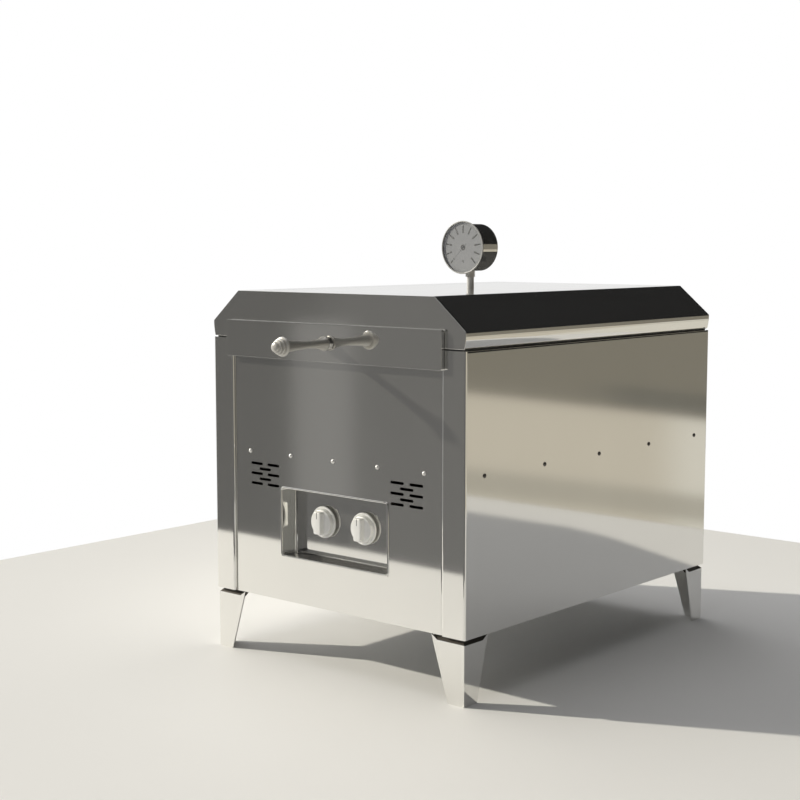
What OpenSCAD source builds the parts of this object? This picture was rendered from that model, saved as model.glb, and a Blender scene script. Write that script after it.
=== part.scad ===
// Outdoor pizza oven: folded steel cabinet on four legs, hinged lid, gas burners under a stone.
// Millimetres. X runs across the front, Y from front to back, Z up from the ground.
// The origin lies on the ground, at the middle of the space that the oven takes up.

/* [Cabinet] */
// Width of the cabinet
body_w = 480; // [440:1:540]
// Depth of the cabinet
body_d = 628; // [580:1:700]
// Height of the cabinet walls
body_h = 381; // [370:1:420]
// Thickness of the folded sheets
sheet_t = 1.5; // [1.2:0.1:2]
// Outer radius of the bends
bend_r = 3; // [2.5:0.1:4]
// Width of a corner post across the front
post_w = 40; // [32:1:46]
// Depth of the lip inside a corner post
lip_d = 12; // [8:1:14]
// Width of the flanges that turn inwards
flange_w = 14; // [12:1:17]
// Distance that the front panel lies behind the posts
panel_inset = 3.5; // [2:0.5:5]
// Gap left where sheets slip into each other
fit_gap = 0.3; // [0.1:0.1:0.5]

/* [Legs] */
// Height of the legs
leg_h = 91; // [70:1:120]
// Width of a leg at its top, on the front
leg_top_x = 56.5; // [48:0.5:70]
// Width of a leg at its top, on the side
leg_top_y = 51; // [45:0.5:65]
// Width of a leg at the ground
leg_foot = 28; // [20:0.5:36]
// Distance of the legs from the cabinet faces
leg_inset = 2.5; // [0:0.5:5]
// Height of the slanted neck at the top of a leg
leg_neck = 7.6; // [5:0.2:10]
// Length of the ear at the inner end of a neck
leg_ear = 9; // [6:0.5:12]
// Width of the tab that carries the cabinet
leg_tab = 18; // [12:1:24]
// Thickness of the leg sheet
leg_t = 2; // [1.5:0.1:3]

/* [Screws and rails] */
// Height of the screw rows above the cabinet floor
screw_rise = 215; // [205:1:225]
// Distance between screws on the front and back
screw_pitch_x = 83.5; // [70:0.5:90]
// Distance between screws on the sides
screw_pitch_y = 136.7; // [110:0.1:140]
// Screws in a row
screw_count = 5; // [3:2:5]
// Diameter of a screw
screw_d = 4; // [3:0.5:5]
// Diameter of a screw head
screw_head_d = 6.4; // [6:0.1:9]
// Height of a screw head
screw_head_h = 2.2; // [1.5:0.1:3]
// Height of the shelf rails
rail_h = 20; // [16:1:26]
// Width of the shelf rails
rail_w = 24; // [18:1:28]
// Thickness of the shelf rails
rail_t = 2; // [1.5:0.1:2.5]

/* [Vents] */
// Length of a vent slot
slot_l = 24; // [16:1:28]
// Height of a vent slot
slot_h = 4; // [2.5:0.1:5]
// Distance between slots in a row
slot_pitch = 34; // [30:0.5:40]
// Distance between rows of slots
slot_row = 7.4; // [6:0.1:8]
// Rows in a group of slots
slot_rows = 5; // [3:2:5]
// Distance from the middle of the front to the middle of a group
vent_x = 136.5; // [134:0.5:145]
// Height of the middle of a group above the cabinet floor
vent_rise = 182.5; // [176:0.5:186]
// Length of a flue slot in the back
flue_l = 50; // [30:1:55]
// Height of a flue slot in the back
flue_h = 3.6; // [2.5:0.1:4]
// Distance between flue slots
flue_pitch = 64; // [60:1:70]
// Flue slots in the row
flue_count = 5; // [3:2:5]
// Distance of the flue slots below the rim of the cabinet
flue_drop = 78; // [70:1:90]

/* [Controls] */
// Width of the control tray
tray_w = 204; // [180:1:206]
// Height of the control tray
tray_h = 99; // [85:1:104]
// Depth of the control tray
tray_d = 26.5; // [20:0.5:36]
// Height of the tray opening above the cabinet floor
tray_rise = 67.5; // [60:0.5:72]
// Width of the rim behind the front panel
tray_rim = 4; // [3:0.5:6]
// Distance between the two knobs
knob_pitch = 77.6; // [64:0.2:90]
// Height of the knobs above the middle of the tray
knob_lift = 3.5; // [0:0.5:6]
// Diameter of a knob
knob_d = 46; // [38:0.5:54]
// Thickness of a knob's skirt
knob_skirt = 3; // [2.5:0.1:5]
// Radius of the bead round the skirt
knob_bead = 1.2; // [0.8:0.1:1.2]
// Diameter of a knob's face
knob_face_d = 38; // [36:0.5:40]
// Height of the face above the skirt
knob_rise = 5.4; // [3:0.1:8]
// Width of the slope between the face and the skirt
knob_slope = 1.6; // [0.5:0.1:2]
// Width of the grip bar
grip_w = 14.5; // [10:0.5:16]
// Length of the grip bar
grip_l = 33; // [28:0.5:34]
// Height of the grip bar above the face
grip_h = 8.3; // [6:0.1:12]
// Radius of the grip bar's corners
grip_r = 3; // [1:0.5:4]
// Length of the mark on the grip bar
mark_l = 10; // [6:0.5:14]
// Width of the mark
mark_w = 1.2; // [0.8:0.1:2]
// Depth of the mark
mark_t = 0.6; // [0.3:0.1:1]
// Gap behind a knob, which it closes when pushed
knob_gap = 3.4; // [3.2:0.1:6]
// How far a knob pushes in
knob_push = 3; // [2:0.1:3]

/* [Gas train] */
// Diameter of a spindle
spindle_d = 6; // [5:0.5:7]
// Distance from a spindle's axis to its flat
spindle_flat = 2.2; // [1.8:0.1:2.4]
// Depth of a spindle in its knob
socket_d = 8.5; // [7:0.5:9]
// Depth of a spindle in its plug
spindle_in = 12; // [10:0.5:14]
// Play of a turning or sliding fit, on the radius
play = 0.05; // [0.02:0.01:0.08]
// Diameter of a valve plug
plug_d = 14; // [12:0.5:16]
// Length of a valve plug
plug_l = 24; // [22:0.5:28]
// Diameter of a valve body
valve_d = 26; // [22:0.5:30]
// Thickness of a valve body's end walls
valve_wall = 5; // [4:0.5:7]
// Width of a valve's mounting flange
valve_flange = 36; // [32:1:44]
// Thickness of that flange
valve_flange_t = 3; // [2:0.5:4]
// Diameter of the gas passages
passage_d = 4; // [3:0.5:5]
// Width of the square manifold
manifold_w = 18; // [14:0.5:22]
// Gap between a valve body and the manifold, bridged by a boss
boss_h = 6; // [4:0.5:8]
// Diameter of that boss
boss_d = 16; // [12:0.5:16]
// Distance from the cabinet's side to the supply pipe
pipe_side = 90; // [70:1:100]
// Diameter of the supply pipe
pipe_d = 12; // [8:0.5:14]
// Thickness of the walls of the pipe and the manifold
pipe_t = 1.5; // [1:0.1:2.5]
// Length of an injector
injector_l = 18; // [14:0.5:22]
// Size of an injector's hexagon across its corners
injector_hex = 12; // [10:0.5:14]
// Diameter of the gas inlet stub
inlet_d = 13.2; // [10:0.1:18]
// Length of the gas inlet stub
inlet_l = 16; // [10:0.5:24]
// Size of the inlet's hexagon across its corners
inlet_hex = 22; // [20:0.5:28]
// Thickness of the inlet's hexagon
inlet_hex_t = 6; // [4:0.5:8]

/* [Burners] */
// Diameter of a burner tube
burner_d = 30; // [24:0.5:34]
// Thickness of a burner tube's wall
burner_t = 1.5; // [1:0.1:2.5]
// Radius of a burner's turn
burner_turn = 50; // [40:1:54]
// Distance from the middle of the cabinet to the turn
burner_reach = 190; // [170:1:210]
// Gap between a valve and its burner's mouth
burner_gap = 8; // [5:0.5:10]
// Diameter of a burner's mouth inside
mouth_d = 20; // [16:0.5:22]
// Depth of a burner's mouth
mouth_l = 30; // [20:1:40]
// Diameter of a burner port
port_d = 3; // [2:0.2:4]
// Ports in each row on a straight run
port_count = 8; // [4:1:12]
// Distance from the middle of the cabinet to a bracket
bracket_y = 140; // [120:1:160]
// Width of a bracket's foot and top
bracket_flange = 15; // [12:1:20]
// Gap between the burners and the heat deflector
deflector_gap = 12; // [8:1:20]
// Drop of the heat deflector's wings
deflector_drop = 12; // [6:1:16]
// Spread of the heat deflector's wings
deflector_spread = 14; // [8:1:18]
// Length of the heat deflector
deflector_l = 380; // [330:1:420]

/* [Chamber] */
// Distance from the cabinet's sides to the cooking chamber
chamber_side = 22; // [18:0.5:28]
// Distance from the cabinet's front and back to the cooking chamber
chamber_end = 26; // [24:0.5:34]
// Thickness of the stone rack
rack_t = 3; // [2:0.5:5]
// Windows across the rack
rack_cols = 7; // [5:1:9]
// Windows along the rack
rack_rows = 6; // [5:1:8]
// Width of the bars between windows
rack_bar = 14; // [10:1:16]
// Width of the rack's rim
rack_rim = 46; // [40:1:60]
// Distance from the chamber's sides to the stone
stone_side = 18; // [10:0.5:40]
// Distance from the chamber's front and back to the stone
stone_end = 38; // [20:0.5:60]
// Thickness of the stone
stone_t = 15; // [10:0.5:20]
// Radius of the stone's corners
stone_r = 12; // [4:1:24]
// Height of the rim round the base pan
pan_rim = 12; // [8:1:20]

/* [Lid] */
// Thickness of the seal under the lid
seal_t = 2; // [1.5:0.1:3]
// Width of the seal
seal_w = 8; // [6:0.5:9]
// Distance of the seal from the cabinet faces
seal_inset = 4.5; // [4:0.5:5]
// Height of the lid's upright lip
lid_lip = 22.6; // [20:0.2:34]
// Distance that the lip curves inwards towards its lower edge
lip_tuck = 1.2; // [0.2:0.1:1.6]
// Width of the lid's chamfers
chamfer_w = 53.7; // [40:0.1:64]
// Height of the lid's chamfers
chamfer_h = 45.4; // [40:0.2:56]
// Distance between the lid's skin and its liner
lid_fill = 20; // [17:0.5:22]
// Margin of the insulation inside the lid
fill_margin = 20; // [16:1:30]

/* [Hinges] */
// Distance from the middle to a hinge
hinge_x = 150; // [90:1:165]
// Width of a hinge
hinge_w = 60; // [48:1:70]
// Length of an outer knuckle
knuckle_l = 18; // [12:0.5:20]
// Diameter of a knuckle
knuckle_d = 10; // [9:0.2:11]
// Diameter of a hinge pin
pin_d = 5; // [4:0.2:6]
// Diameter of a hinge pin's head
pin_head_d = 8; // [7:0.2:9]
// Thickness of a hinge pin's head
pin_head_t = 1.5; // [1:0.1:2]
// Thickness of a hinge leaf
leaf_t = 2.5; // [2:0.1:3]
// Height of a hinge leaf
leaf_h = 26; // [18:1:34]
// Distance from the axis to a leaf's edge
leaf_gap = 8; // [7:0.5:10]
// Distance of the hinge axis behind the cabinet
hinge_out = 6; // [5.8:0.1:6.4]
// Gap between knuckles
knuckle_gap = 0.3; // [0.2:0.05:0.5]

/* [Handle] */
// Distance from the lid's sides to the ends of the handle plate
plate_side = 35; // [30:0.5:50]
// Height of the handle plate
plate_h = 53; // [46:0.5:60]
// Distance that the plate hangs below the lid
plate_drop = 28; // [22:0.5:30]
// Distance that the plate stands proud of the lid
plate_proud = 7; // [6:0.5:9]
// Clearance of the plate's hanging edge from the posts
plate_clear = 0.4; // [0.3:0.1:0.8]
// Diameter of the handle stud
stud_d = 8; // [6:0.5:8]
// Diameter of the stud's head
stud_head_d = 16; // [14:0.5:20]
// Thickness of the stud's head
stud_head_t = 3.5; // [2.5:0.1:4]
// Size of the handle nut across its corners
nut_d = 18.6; // [16:0.2:22]
// Thickness of the handle nut
nut_t = 4; // [3:0.5:10]
// Length of the grip
handle_l = 80; // [66:1:100]
// Diameter of the grip's bulge at its base
handle_base_d = 20.5; // [18:0.5:24]
// Length of the rounded edge below that bulge
handle_edge = 3; // [2:0.5:5]
// Diameter of the grip's waist
handle_waist_d = 10.5; // [10:0.1:12]
// Diameter of the grip at its front
handle_front_d = 17.5; // [15:0.5:20]
// Position of the waist, from the base
handle_waist = 38; // [30:1:44]
// Diameter of the finial's largest ring
finial_d = 27; // [26:0.2:32]
// Thickness of the largest ring
finial_t = 6; // [5:0.2:8]
// Thickness of a smaller ring
ring_t = 4; // [3:0.2:5]
// Step between the radii of two rings
ring_step = 2.1; // [1.5:0.1:2.2]
// Smaller rings in the finial
ring_count = 2; // [1:1:3]
// Diameter of the button at the tip
button_d = 12.5; // [11:0.1:13]
// Length of the button
button_l = 5.5; // [4:0.5:6]

/* [Gauge] */
// Height of the dial's middle above the lid
gauge_rise = 62; // [58:0.5:80]
// Diameter of the gauge case
case_d = 70; // [60:1:74]
// Distance from the stem to the back of the case
case_back = 22.5; // [18:0.5:28]
// Thickness of the case wall
case_t = 1.6; // [1.2:0.1:2.4]
// Radius of the case's back edge
case_r = 3; // [1:0.5:5]
// Diameter of the bezel
bezel_d = 81; // [79:0.5:88]
// Thickness of the bezel
bezel_t = 5.5; // [5:0.1:8]
// Distance from the stem to the front of the bezel
bezel_front = 21.4; // [18:0.1:26]
// Width of the bezel's front lip
bezel_lip = 3; // [2:0.1:4]
// Thickness of the bezel's wall
bezel_wall = 1.8; // [1.2:0.1:1.8]
// Thickness of the bezel's front lip
bezel_lip_t = 1; // [0.6:0.1:1.4]
// Thickness of the lens
lens_t = 1.5; // [1:0.1:1.8]
// Thickness of the dial plate
dial_t = 1.2; // [0.8:0.1:1.4]
// Width of the rim that holds the lens off the dial
dial_rim = 1; // [0.8:0.1:1.2]
// Length of the pointer
pointer_l = 27; // [20:0.5:30]
// Length of the pointer's tail
pointer_tail = 8; // [5:0.5:12]
// Width of the pointer at its hub
pointer_w = 1.6; // [1:0.1:3]
// Thickness of the pointer
pointer_t = 0.5; // [0.3:0.1:0.6]
// Diameter of the pointer's hub
hub_d = 6; // [4:0.5:8]
// Diameter of the pointer's arbor
arbor_d = 2; // [1.5:0.1:3]
// Angle between the pointer's two ends of travel
dial_sweep = 270; // [240:1:300]
// Diameter of the gauge movement
movement_d = 24; // [18:1:40]
// Diameter of the stem
stem_d = 11; // [8:0.5:12]
// Length of the probe below the lid's top
probe_l = 58; // [40:1:60]
// Size of the gauge nut across its corners
gauge_nut_d = 16; // [14:0.5:20]
// Height of the gauge nut
gauge_nut_h = 10; // [7:0.5:12]
// Diameter of the flare at the stem's foot
collar_d = 16; // [13:0.5:24]
// Height of that flare
collar_h = 5.5; // [3:0.5:8]

/* [Hidden] */
$fn = 64;
bend_steps = 6;
lip_steps = 4;
straight = 5;
arc_steps = 6;
cut = 1;

hw = body_w / 2;
hd = body_d / 2;
z_floor = leg_h;
z_rim = z_floor + body_h;
z_lid = z_rim + seal_t;
z_bend = z_lid + lid_lip;
z_top = z_bend + chamfer_h;
z_screw = z_floor + screw_rise;
z_shelf = z_screw + rail_h / 2;
z_rack = z_shelf + rack_t;
z_tray = z_floor + tray_rise + tray_h / 2;
z_knob = z_tray + knob_lift;
z_vent = z_floor + vent_rise;
z_flue = z_rim - flue_drop;
z_pan = z_floor + 2 * sheet_t;

chamber_w = body_w - 2 * chamber_side;
chamber_d = body_d - 2 * chamber_end;
stone_w = chamber_w - 2 * stone_side;
stone_d = chamber_d - 2 * stone_end;
panel_hw = hw - post_w - fit_gap;
y_front = -hd + panel_inset;
y_tray = y_front + tray_d;
y_valve = y_tray + sheet_t;
knob_x = knob_pitch / 2;
pipe_x = hw - pipe_side;
y_knob = y_tray - knob_gap;
valve_l = plug_l + 2 * valve_wall + 2;
y_plug = y_valve + valve_wall + 1;
y_gas = y_valve + valve_l / 2;
z_manifold = z_knob - valve_d / 2 - boss_h;
y_mouth = y_valve + valve_l + burner_gap;
burner_r = burner_d / 2;
z_deflector = z_knob + burner_r + deflector_gap;
bracket_hw = knob_x + 2 * burner_turn + burner_d;

hinge_axis = [hd + hinge_out, z_rim + seal_t / 2];
plate_w = body_w - 2 * plate_side;
plate_z = z_lid - plate_drop;
handle_z = plate_z + plate_h / 2;
y_plate = -hd - plate_proud;
finial_l = finial_t + ring_count * ring_t + button_l;
handle_reach = plate_proud + nut_t + handle_l + finial_l;
inlet_reach = inlet_hex_t + inlet_l;
hinge_reach = hinge_out + knuckle_d / 2;
y_shift = (handle_reach - max(inlet_reach, hinge_reach)) / 2;

gauge_z = z_top + gauge_rise;
case_r_out = case_d / 2;
bezel_r = bezel_d / 2;
pocket_r = bezel_r - bezel_wall;
y_bezel_back = -bezel_front + bezel_t;
y_lens_back = -bezel_front + bezel_lip_t + lens_t;
y_dial_front = y_bezel_back - dial_t;

polished = "lightgray";
satin = "silver";
brass = "goldenrod";
galvanised = "darkgray";
charcoal = "dimgray";

// Left-hand normal of the step from a to b
function left_of(a, b) = let (d = b - a) [-d.y, d.x] / norm(d);

// A path moved sideways by w to its left, with mitred corners
function beside(p, w) = [
    for (i = [0:len(p) - 1])
        let (n1 = left_of(p[max(i - 1, 0)], p[max(i, 1)]))
        let (n2 = left_of(p[min(i, len(p) - 2)], p[min(i + 1, len(p) - 1)]))
        p[i] + w * (n1 + n2) / (1 + n1 * n2)
];

// Points of the arc of radius r that rounds the corner b between a and c, or b where it is nearly straight
function corner(a, b, c, r) =
    let (u = (a - b) / norm(a - b))
    let (v = (c - b) / norm(c - b))
    let (half = acos(u * v) / 2)
    half > 90 - straight ? [b] :
    let (middle = b + (u + v) / norm(u + v) * r / sin(half))
    let (start = b + u * r / tan(half))
    let (end = b + v * r / tan(half))
    [
        for (k = [0:bend_steps])
            let (d = start + (end - start) * k / bend_steps - middle)
            middle + r * d / norm(d)
    ];

// A path with each corner between its ends bent to radius r
function bent(p, r) = [
    for (i = [0:len(p) - 1])
        each i == 0 || i == len(p) - 1 ? [p[i]] : corner(p[i - 1], p[i], p[i + 1], r)
];

function reversed(p) = [for (i = [len(p) - 1:-1:0]) p[i]];
function mirrored(p) = [for (i = [len(p) - 1:-1:0]) [-p[i].x, p[i].y]];

// Points on a circle of radius r about c, from angle a0 to a1
function arc(c, r, a0, a1) = [
    for (k = [0:arc_steps])
        let (a = a0 + (a1 - a0) * k / arc_steps)
        c + r * [cos(a), sin(a)]
];

// Places of n things in a row, a pitch apart, about the middle
function row(n, pitch) = [for (i = [0:n - 1]) (i - (n - 1) / 2) * pitch];

// Section of a folded sheet: path p, thickness t to its left
module sheet(p, t) {
    polygon(concat(p, reversed(beside(p, t))));
}

module placed() {
    translate([0, y_shift, 0]) children();
}

module along_x(x0, x1) {
    translate([x0, 0, 0]) rotate([90, 0, 90]) linear_extrude(x1 - x0) children();
}

module along_y(y0, y1) {
    translate([0, y1, 0]) rotate([90, 0, 0]) linear_extrude(y1 - y0) children();
}

module along_z(z0, z1) {
    translate([0, 0, z0]) linear_extrude(z1 - z0) children();
}

// Turns what stands on Z so that it points to the front, from y
module to_front(y) {
    translate([0, y, 0]) rotate([90, 0, 0]) children();
}

// Turns what stands on Z so that it points to the back, from y
module to_back(y) {
    translate([0, y, 0]) rotate([-90, 0, 0]) children();
}

module flip_x(on) {
    if (on) mirror([1, 0, 0]) children();
    else children();
}

module flip_y(on) {
    if (on) mirror([0, 1, 0]) children();
    else children();
}

module rounded(w, h, r) {
    square([w - 2 * r, h], center = true);
    square([w, h - 2 * r], center = true);
    for (x = [-1, 1], y = [-1, 1]) translate([x * (w / 2 - r), y * (h / 2 - r)]) circle(r);
}

module slot(l, h) {
    square([l - h, h], center = true);
    for (x = [-1, 1]) translate([x * (l - h) / 2, 0]) circle(h / 2);
}

// Round section with a flat, for a spindle and what it fits into
module d_section(r, flat) {
    intersection() {
        circle(r);
        translate([-r, -r]) square([2 * r, r + flat]);
    }
}

// Cabinet

// One folded sheet: a side with its front and rear posts, their lips, and flanges below and above
module side_panel() {
    inner = hw - post_w;
    reach = hd - bend_r;
    path = [
        [inner, -hd + lip_d], [inner, -hd], [hw, -hd],
        [hw, hd], [inner, hd], [inner, hd - lip_d]
    ];
    rim = [[hw - flange_w, z_rim], [hw, z_rim], [hw, z_rim - 2 * bend_r]];
    difference() {
        union() {
            difference() {
                along_z(z_floor, z_rim) sheet(bent(path, bend_r), sheet_t);
                translate([hw - bend_r, -reach, z_rim - bend_r]) cube([2 * bend_r, 2 * reach, 2 * bend_r]);
            }
            along_y(-reach, reach) sheet(bent(rim, bend_r), -sheet_t);
            translate([hw - flange_w, -hd + sheet_t, z_floor])
                cube([flange_w - sheet_t, body_d - 2 * sheet_t, sheet_t]);
            for (z = [z_floor, z_rim - sheet_t], y = [-hd + sheet_t, hd - flange_w])
                translate([inner + sheet_t, y, z])
                    cube([post_w - bend_r - sheet_t, flange_w - sheet_t, sheet_t]);
        }
        for (y = row(screw_count, screw_pitch_y))
            translate([hw, y, z_screw]) rotate([0, 90, 0])
                cylinder(d = screw_d + 2 * play, h = 4 * sheet_t, center = true);
    }
}

// A panel between two posts, with lips beside theirs and a flange below and above
module end_panel(inset) {
    y = -hd + inset;
    path = [[-panel_hw, -hd + lip_d], [-panel_hw, y], [panel_hw, y], [panel_hw, -hd + lip_d]];
    difference() {
        union() {
            along_z(z_floor, z_rim) sheet(bent(path, bend_r), sheet_t);
            for (z = [z_floor, z_rim - sheet_t])
                translate([-panel_hw + sheet_t, y + sheet_t, z])
                    cube([2 * (panel_hw - sheet_t), flange_w - sheet_t, sheet_t]);
        }
        for (x = row(screw_count, screw_pitch_x))
            translate([x, y, z_screw]) rotate([90, 0, 0])
                cylinder(d = screw_d + 2 * play, h = 4 * sheet_t, center = true);
    }
}

// Rows of two slots with a single slot between them
module vent_slots() {
    for (i = [0:slot_rows - 1], x = i % 2 == 0 ? [-slot_pitch / 2, slot_pitch / 2] : [0])
        translate([x, (i - (slot_rows - 1) / 2) * slot_row]) slot(slot_l, slot_h);
}

module flue_slots() {
    for (x = row(flue_count, flue_pitch)) translate([x, z_flue]) slot(flue_l, flue_h);
}

module left_side_panel() {
    color(polished) placed() mirror([1, 0, 0]) side_panel();
}

module right_side_panel() {
    color(polished) placed() side_panel();
}

module front_panel() {
    color(polished) placed() difference() {
        end_panel(panel_inset);
        along_y(y_front - cut, y_front + sheet_t + cut) {
            translate([0, z_tray])
                square([tray_w, tray_h] + 2 * (sheet_t + fit_gap) * [1, 1], center = true);
            for (x = [-vent_x, vent_x]) translate([x, z_vent]) vent_slots();
        }
    }
}

module back_panel() {
    color(polished) placed() difference() {
        rotate([0, 0, 180]) end_panel(0);
        along_y(hd - sheet_t - cut, hd + cut) {
            flue_slots();
            translate([pipe_x, z_manifold - manifold_w / 2]) circle(d = inlet_d + 2 * fit_gap);
        }
    }
}

module base_pan() {
    size = [body_w - 2 * (sheet_t + fit_gap), body_d - 2 * (lip_d + fit_gap)];
    z = z_floor + sheet_t;
    color(galvanised) placed() {
        along_z(z, z_pan) square(size, center = true);
        along_z(z, z_pan + pan_rim) difference() {
            square(size, center = true);
            square(size - 2 * sheet_t * [1, 1], center = true);
        }
    }
}

// The recess for the knobs: a box that fills the cut-out, with a rim behind the front panel
module control_tray() {
    outer = [tray_w, tray_h] + 2 * sheet_t * [1, 1];
    color(polished) placed() difference() {
        union() {
            along_y(y_front, y_valve) translate([0, z_tray]) square(outer, center = true);
            along_y(y_front + sheet_t, y_front + 2 * sheet_t) translate([0, z_tray])
                square(outer + 2 * tray_rim * [1, 1], center = true);
        }
        along_y(y_front - cut, y_tray) translate([0, z_tray]) square([tray_w, tray_h], center = true);
        for (x = [-knob_x, knob_x]) translate([x, y_tray - cut, z_knob]) rotate([-90, 0, 0])
            cylinder(d = spindle_d + 2, h = sheet_t + 2 * cut);
    }
}

// Legs

// One leaf of a leg, in the corner of X and Y: its face along X, then the neck and the tab
module leg_leaf(top) {
    z_neck = leg_h - leg_neck;
    section = [[0, 0], [0, z_neck], [leg_neck, leg_h], [leg_neck + leg_tab, leg_h]];
    edge = leg_foot + (top - leg_foot) * z_neck / leg_h;
    intersection() {
        along_x(0, top) sheet(section, -leg_t);
        along_y(0, leg_neck + leg_tab) polygon([[0, 0], [leg_foot, 0], [top, leg_h], [0, leg_h]]);
        along_z(0, leg_h) polygon([[0, 0], [top, 0], [top, top]]);
    }
    along_y(0, leg_t) polygon([[edge - leg_ear, z_neck], [edge, z_neck], [top, leg_h]]);
}

module leg(right, rear) {
    x = (right ? 1 : -1) * (hw - leg_inset);
    y = (rear ? 1 : -1) * (hd - leg_inset);
    color(polished) placed() translate([x, y, 0]) flip_x(right) flip_y(rear) {
        leg_leaf(leg_top_x);
        mirror([1, -1, 0]) leg_leaf(leg_top_y);
    }
}

module front_left_leg() {
    leg(false, false);
}

module front_right_leg() {
    leg(true, false);
}

module rear_left_leg() {
    leg(false, true);
}

module rear_right_leg() {
    leg(true, true);
}

// Screws and rails

// A domed screw that stands on Z, with its head's seat at zero
module screw() {
    shank = sheet_t + rail_t + screw_d / 2;
    dome = (screw_head_d * screw_head_d / 4 + screw_head_h * screw_head_h) / (2 * screw_head_h);
    rotate_extrude() {
        translate([0, -shank]) square([screw_d / 2, shank]);
        intersection() {
            translate([0, screw_head_h - dome]) circle(dome);
            square([screw_head_d, screw_head_h]);
        }
    }
}

module front_screws() {
    color(satin) placed() for (x = row(screw_count, screw_pitch_x))
        translate([x, 0, z_screw]) to_front(y_front) screw();
}

module side_screws() {
    color(charcoal) placed() for (y = row(screw_count, screw_pitch_y), left = [false, true])
        flip_x(left) translate([hw, y, z_screw]) rotate([0, 90, 0]) screw();
}

module rear_screws() {
    color(satin) placed() for (x = row(screw_count, screw_pitch_x))
        translate([x, 0, z_screw]) to_back(hd) screw();
}

// Angle rail on the inside of a side panel
module side_rail() {
    x = hw - sheet_t;
    path = [[x, z_shelf - rail_h], [x, z_shelf], [x - rail_w, z_shelf]];
    reach = hd - lip_d - 2 * rail_t;
    difference() {
        along_y(-reach, reach) sheet(bent(path, bend_r), rail_t);
        for (y = row(screw_count, screw_pitch_y))
            translate([x, y, z_screw]) rotate([0, 90, 0])
                cylinder(d = screw_d + 2 * play, h = 4 * rail_t, center = true);
    }
}

// Angle rail on the inside of a front or back panel that lies at y
module end_rail(y) {
    path = [[y, z_shelf - rail_h], [y, z_shelf], [y + rail_w, z_shelf]];
    reach = panel_hw - bend_r - fit_gap;
    difference() {
        along_x(-reach, reach) sheet(bent(path, bend_r), -rail_t);
        for (x = row(screw_count, screw_pitch_x))
            translate([x, y, z_screw]) rotate([90, 0, 0])
                cylinder(d = screw_d + 2 * play, h = 4 * rail_t, center = true);
    }
}

module left_shelf_rail() {
    color(galvanised) placed() mirror([1, 0, 0]) side_rail();
}

module right_shelf_rail() {
    color(galvanised) placed() side_rail();
}

module front_shelf_rail() {
    color(galvanised) placed() end_rail(y_front + sheet_t);
}

module rear_shelf_rail() {
    color(galvanised) placed() rotate([0, 0, 180]) end_rail(-hd + sheet_t);
}

// Chamber

module stone_rack() {
    size = [body_w - 2 * (sheet_t + 2 * rail_t), body_d - 2 * (lip_d + rail_t)];
    field = size - 2 * rack_rim * [1, 1];
    pitch = [(field.x + rack_bar) / rack_cols, (field.y + rack_bar) / rack_rows];
    color(charcoal) placed() along_z(z_shelf, z_rack) difference() {
        square(size, center = true);
        for (x = row(rack_cols, pitch.x), y = row(rack_rows, pitch.y))
            translate([x, y]) square(pitch - rack_bar * [1, 1], center = true);
    }
}

module pizza_stone() {
    color("tan") placed() along_z(z_rack, z_rack + stone_t) rounded(stone_w, stone_d, stone_r);
}

// Chamber wall beside a side panel, hung from the flange at the rim
module side_wall() {
    z = z_rim - sheet_t;
    path = [[hw - bend_r - fit_gap, z], [chamber_w / 2, z], [chamber_w / 2, z_rack]];
    reach = chamber_d / 2 + sheet_t;
    along_y(-reach, reach) sheet(bent(path, bend_r), sheet_t);
}

// Chamber wall behind the front or back panel
module end_wall() {
    z = z_rim - sheet_t;
    path = [[-hd + lip_d + cut, z], [-chamber_d / 2, z], [-chamber_d / 2, z_rack]];
    reach = chamber_w / 2 - fit_gap;
    along_x(-reach, reach) sheet(bent(path, bend_r), -sheet_t);
}

module left_chamber_wall() {
    color(satin) placed() mirror([1, 0, 0]) side_wall();
}

module right_chamber_wall() {
    color(satin) placed() side_wall();
}

module front_chamber_wall() {
    color(satin) placed() end_wall();
}

module rear_chamber_wall() {
    color(satin) placed() difference() {
        rotate([0, 0, 180]) end_wall();
        along_y(chamber_d / 2 - cut, chamber_d / 2 + sheet_t + cut) flue_slots();
    }
}

// Burners

// Solid form of a tube of radius r that runs back from y, turns, and comes forward to the given end
module burner_run(r, y, end) {
    translate([knob_x, 0, z_knob]) to_back(y) cylinder(r = r, h = burner_reach - y);
    translate([knob_x + 2 * burner_turn, 0, z_knob]) to_back(end) cylinder(r = r, h = burner_reach - end);
    translate([knob_x + burner_turn, burner_reach, z_knob])
        rotate_extrude(angle = 180) translate([burner_turn, 0]) circle(r);
}

// Tube with a narrow mouth for the injector, a closed end, and two rows of ports along each run
module burner() {
    difference() {
        burner_run(burner_r, y_mouth, -burner_reach);
        burner_run(burner_r - burner_t, y_mouth + mouth_l, -burner_reach + burner_t);
        translate([knob_x, 0, z_knob]) to_back(y_mouth - cut) cylinder(d = mouth_d, h = mouth_l + 2 * cut);
        for (x = [0, 2 * burner_turn], y = row(port_count, 2 * bracket_y / port_count), tilt = [-45, 45])
            translate([knob_x + x, y, z_knob]) rotate([0, tilt, 0])
                translate([0, 0, burner_r - 2 * burner_t]) cylinder(d = port_d, h = 3 * burner_t, $fn = 24);
    }
}

module left_burner() {
    color(galvanised) placed() mirror([1, 0, 0]) burner();
}

module right_burner() {
    color(galvanised) placed() burner();
}

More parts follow.
